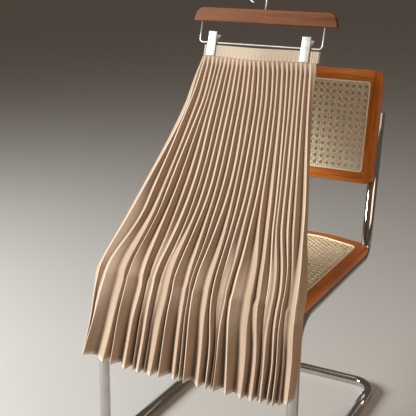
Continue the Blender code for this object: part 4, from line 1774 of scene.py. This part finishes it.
    def build(self, bench: Bench) -> None:
        """Make the hanger's pieces; the clips' back levers keep their solids.

        Args:
            bench: makes the pieces.
        """
        rig = self._rig()
        pieces = [
            ("hanger_bar", "_wood", self._bar(), Slot.BAR),
            ("hanger_wire", "_steel", self._loop(), Slot.WIRE),
            ("hanger_hook", "_steel", self._hook(), Slot.WIRE),
        ]
        for side, x in self.clips:
            pieces.append((f"clip_{side}_front", "_steel", self._clip_front(x), Slot.CLIP))
            pieces.append((f"clip_{side}_spring", "_coil", self._spring(x), Slot.WIRE))
            bench.dress(f"clip_{side}_back", Slot.CLIP)
        for node, ending, cage, slot in pieces:
            bmesh.ops.transform(cage, matrix=rig, verts=cage.verts)
            bench.piece(node + ending, cage, slot, [node])


@dataclass
class Studio:
    """Floor, soft light and the camera at the photograph's angle."""

    eye: Vector = field(default_factory=lambda: Vector((0.73326, -1.61446, 1.05799)))
    azimuth: float = radians(27.5594)
    elevation: float = radians(16.7248)
    roll: float = radians(-0.8072)
    lens: float = 73.48
    sensor: float = 36.0
    far: float = 200.0
    floor_half: float = 40.0
    target: Vector = field(default_factory=lambda: Vector((0.0, 0.0, 0.45)))
    sky: tuple[float, ...] = (1.0, 0.82, 0.66, 1.0)
    sky_strength: float = 0.12

    def _camera(self) -> None:
        """Set the camera."""
        level = Vector((-sin(self.azimuth), cos(self.azimuth), 0.0)) * cos(self.elevation)
        ahead = level - Vector((0.0, 0.0, sin(self.elevation)))
        right = Vector((cos(self.azimuth), sin(self.azimuth), 0.0))
        down = ahead.cross(right)
        across = cos(self.roll) * right + sin(self.roll) * down
        below = cos(self.roll) * down - sin(self.roll) * right
        data = bpy.data.cameras.new("camera")
        data.lens = self.lens
        data.sensor_width = self.sensor
        data.clip_end = self.far
        camera = placed("camera", data)
        turned = Matrix((across, -below, -ahead)).transposed().to_4x4()
        camera.matrix_world = Matrix.Translation(self.eye) @ turned
        bpy.context.scene.camera = camera

    def _lamp(self, name: str, place: Triple, size: float, power: float, colour: Triple) -> None:
        """Add a square lamp that faces the middle of the part.

        Args:
            name: the lamp's name.
            place: where it stands.
            size: its side.
            power: its power in watts.
            colour: its colour.
        """
        data = bpy.data.lights.new(name, "AREA")
        data.shape = "SQUARE"
        data.size = size
        data.energy = power
        data.color = colour
        lamp = placed(name, data)
        lamp.location = place
        lamp.rotation_euler = (self.target - Vector(place)).to_track_quat("-Z", "Y").to_euler()

    def _floor(self) -> None:
        """Lay the plain floor."""
        cage = bmesh.new()
        bmesh.ops.create_grid(cage, x_segments=4, y_segments=4, size=self.floor_half)
        mesh = meshed("floor", cage)
        mesh.materials.append(Ground().material())
        placed("floor", mesh)

    def build(self) -> None:
        """Set up the studio."""
        self._camera()
        self._floor()
        self._lamp("key", (-2.3, -1.55, 1.5), 1.1, 165.0, (0.965, 1.0, 0.995))
        self._lamp("fill", (2.6, -1.0, 1.5), 1.6, 21.0, (1.0, 0.70, 0.46))
        self._lamp("top", (0.2, 0.4, 2.8), 1.8, 8.0, (1.0, 0.98, 0.95))
        world = bpy.data.worlds.new("studio")
        world.use_nodes = True
        background = world.node_tree.nodes["Background"]
        background.inputs["Color"].default_value = self.sky
        background.inputs["Strength"].default_value = self.sky_strength
        bpy.context.scene.world = world
        bpy.context.scene.view_settings.view_transform = "Standard"


def clear_defaults() -> None:
    """Remove what a new file holds beside the frame."""
    kept = set(FRAME["nodes"].values()) | set(FRAME["bodies"].values())
    for item in list(bpy.data.objects):
        if item not in kept:
            bpy.data.objects.remove(item, do_unlink=True)


def main() -> None:
    """Build the studio and every piece."""
    logging.basicConfig(level=logging.INFO, format="%(name)s: %(message)s")
    clear_defaults()
    Studio().build()
    bench = Bench()
    drape = Drape()
    for maker in (Chair(), PleatedSkirt(drape), Waistband(drape), ClipHanger(drape)):
        maker.build(bench)


if __name__ == "__main__":
    main()
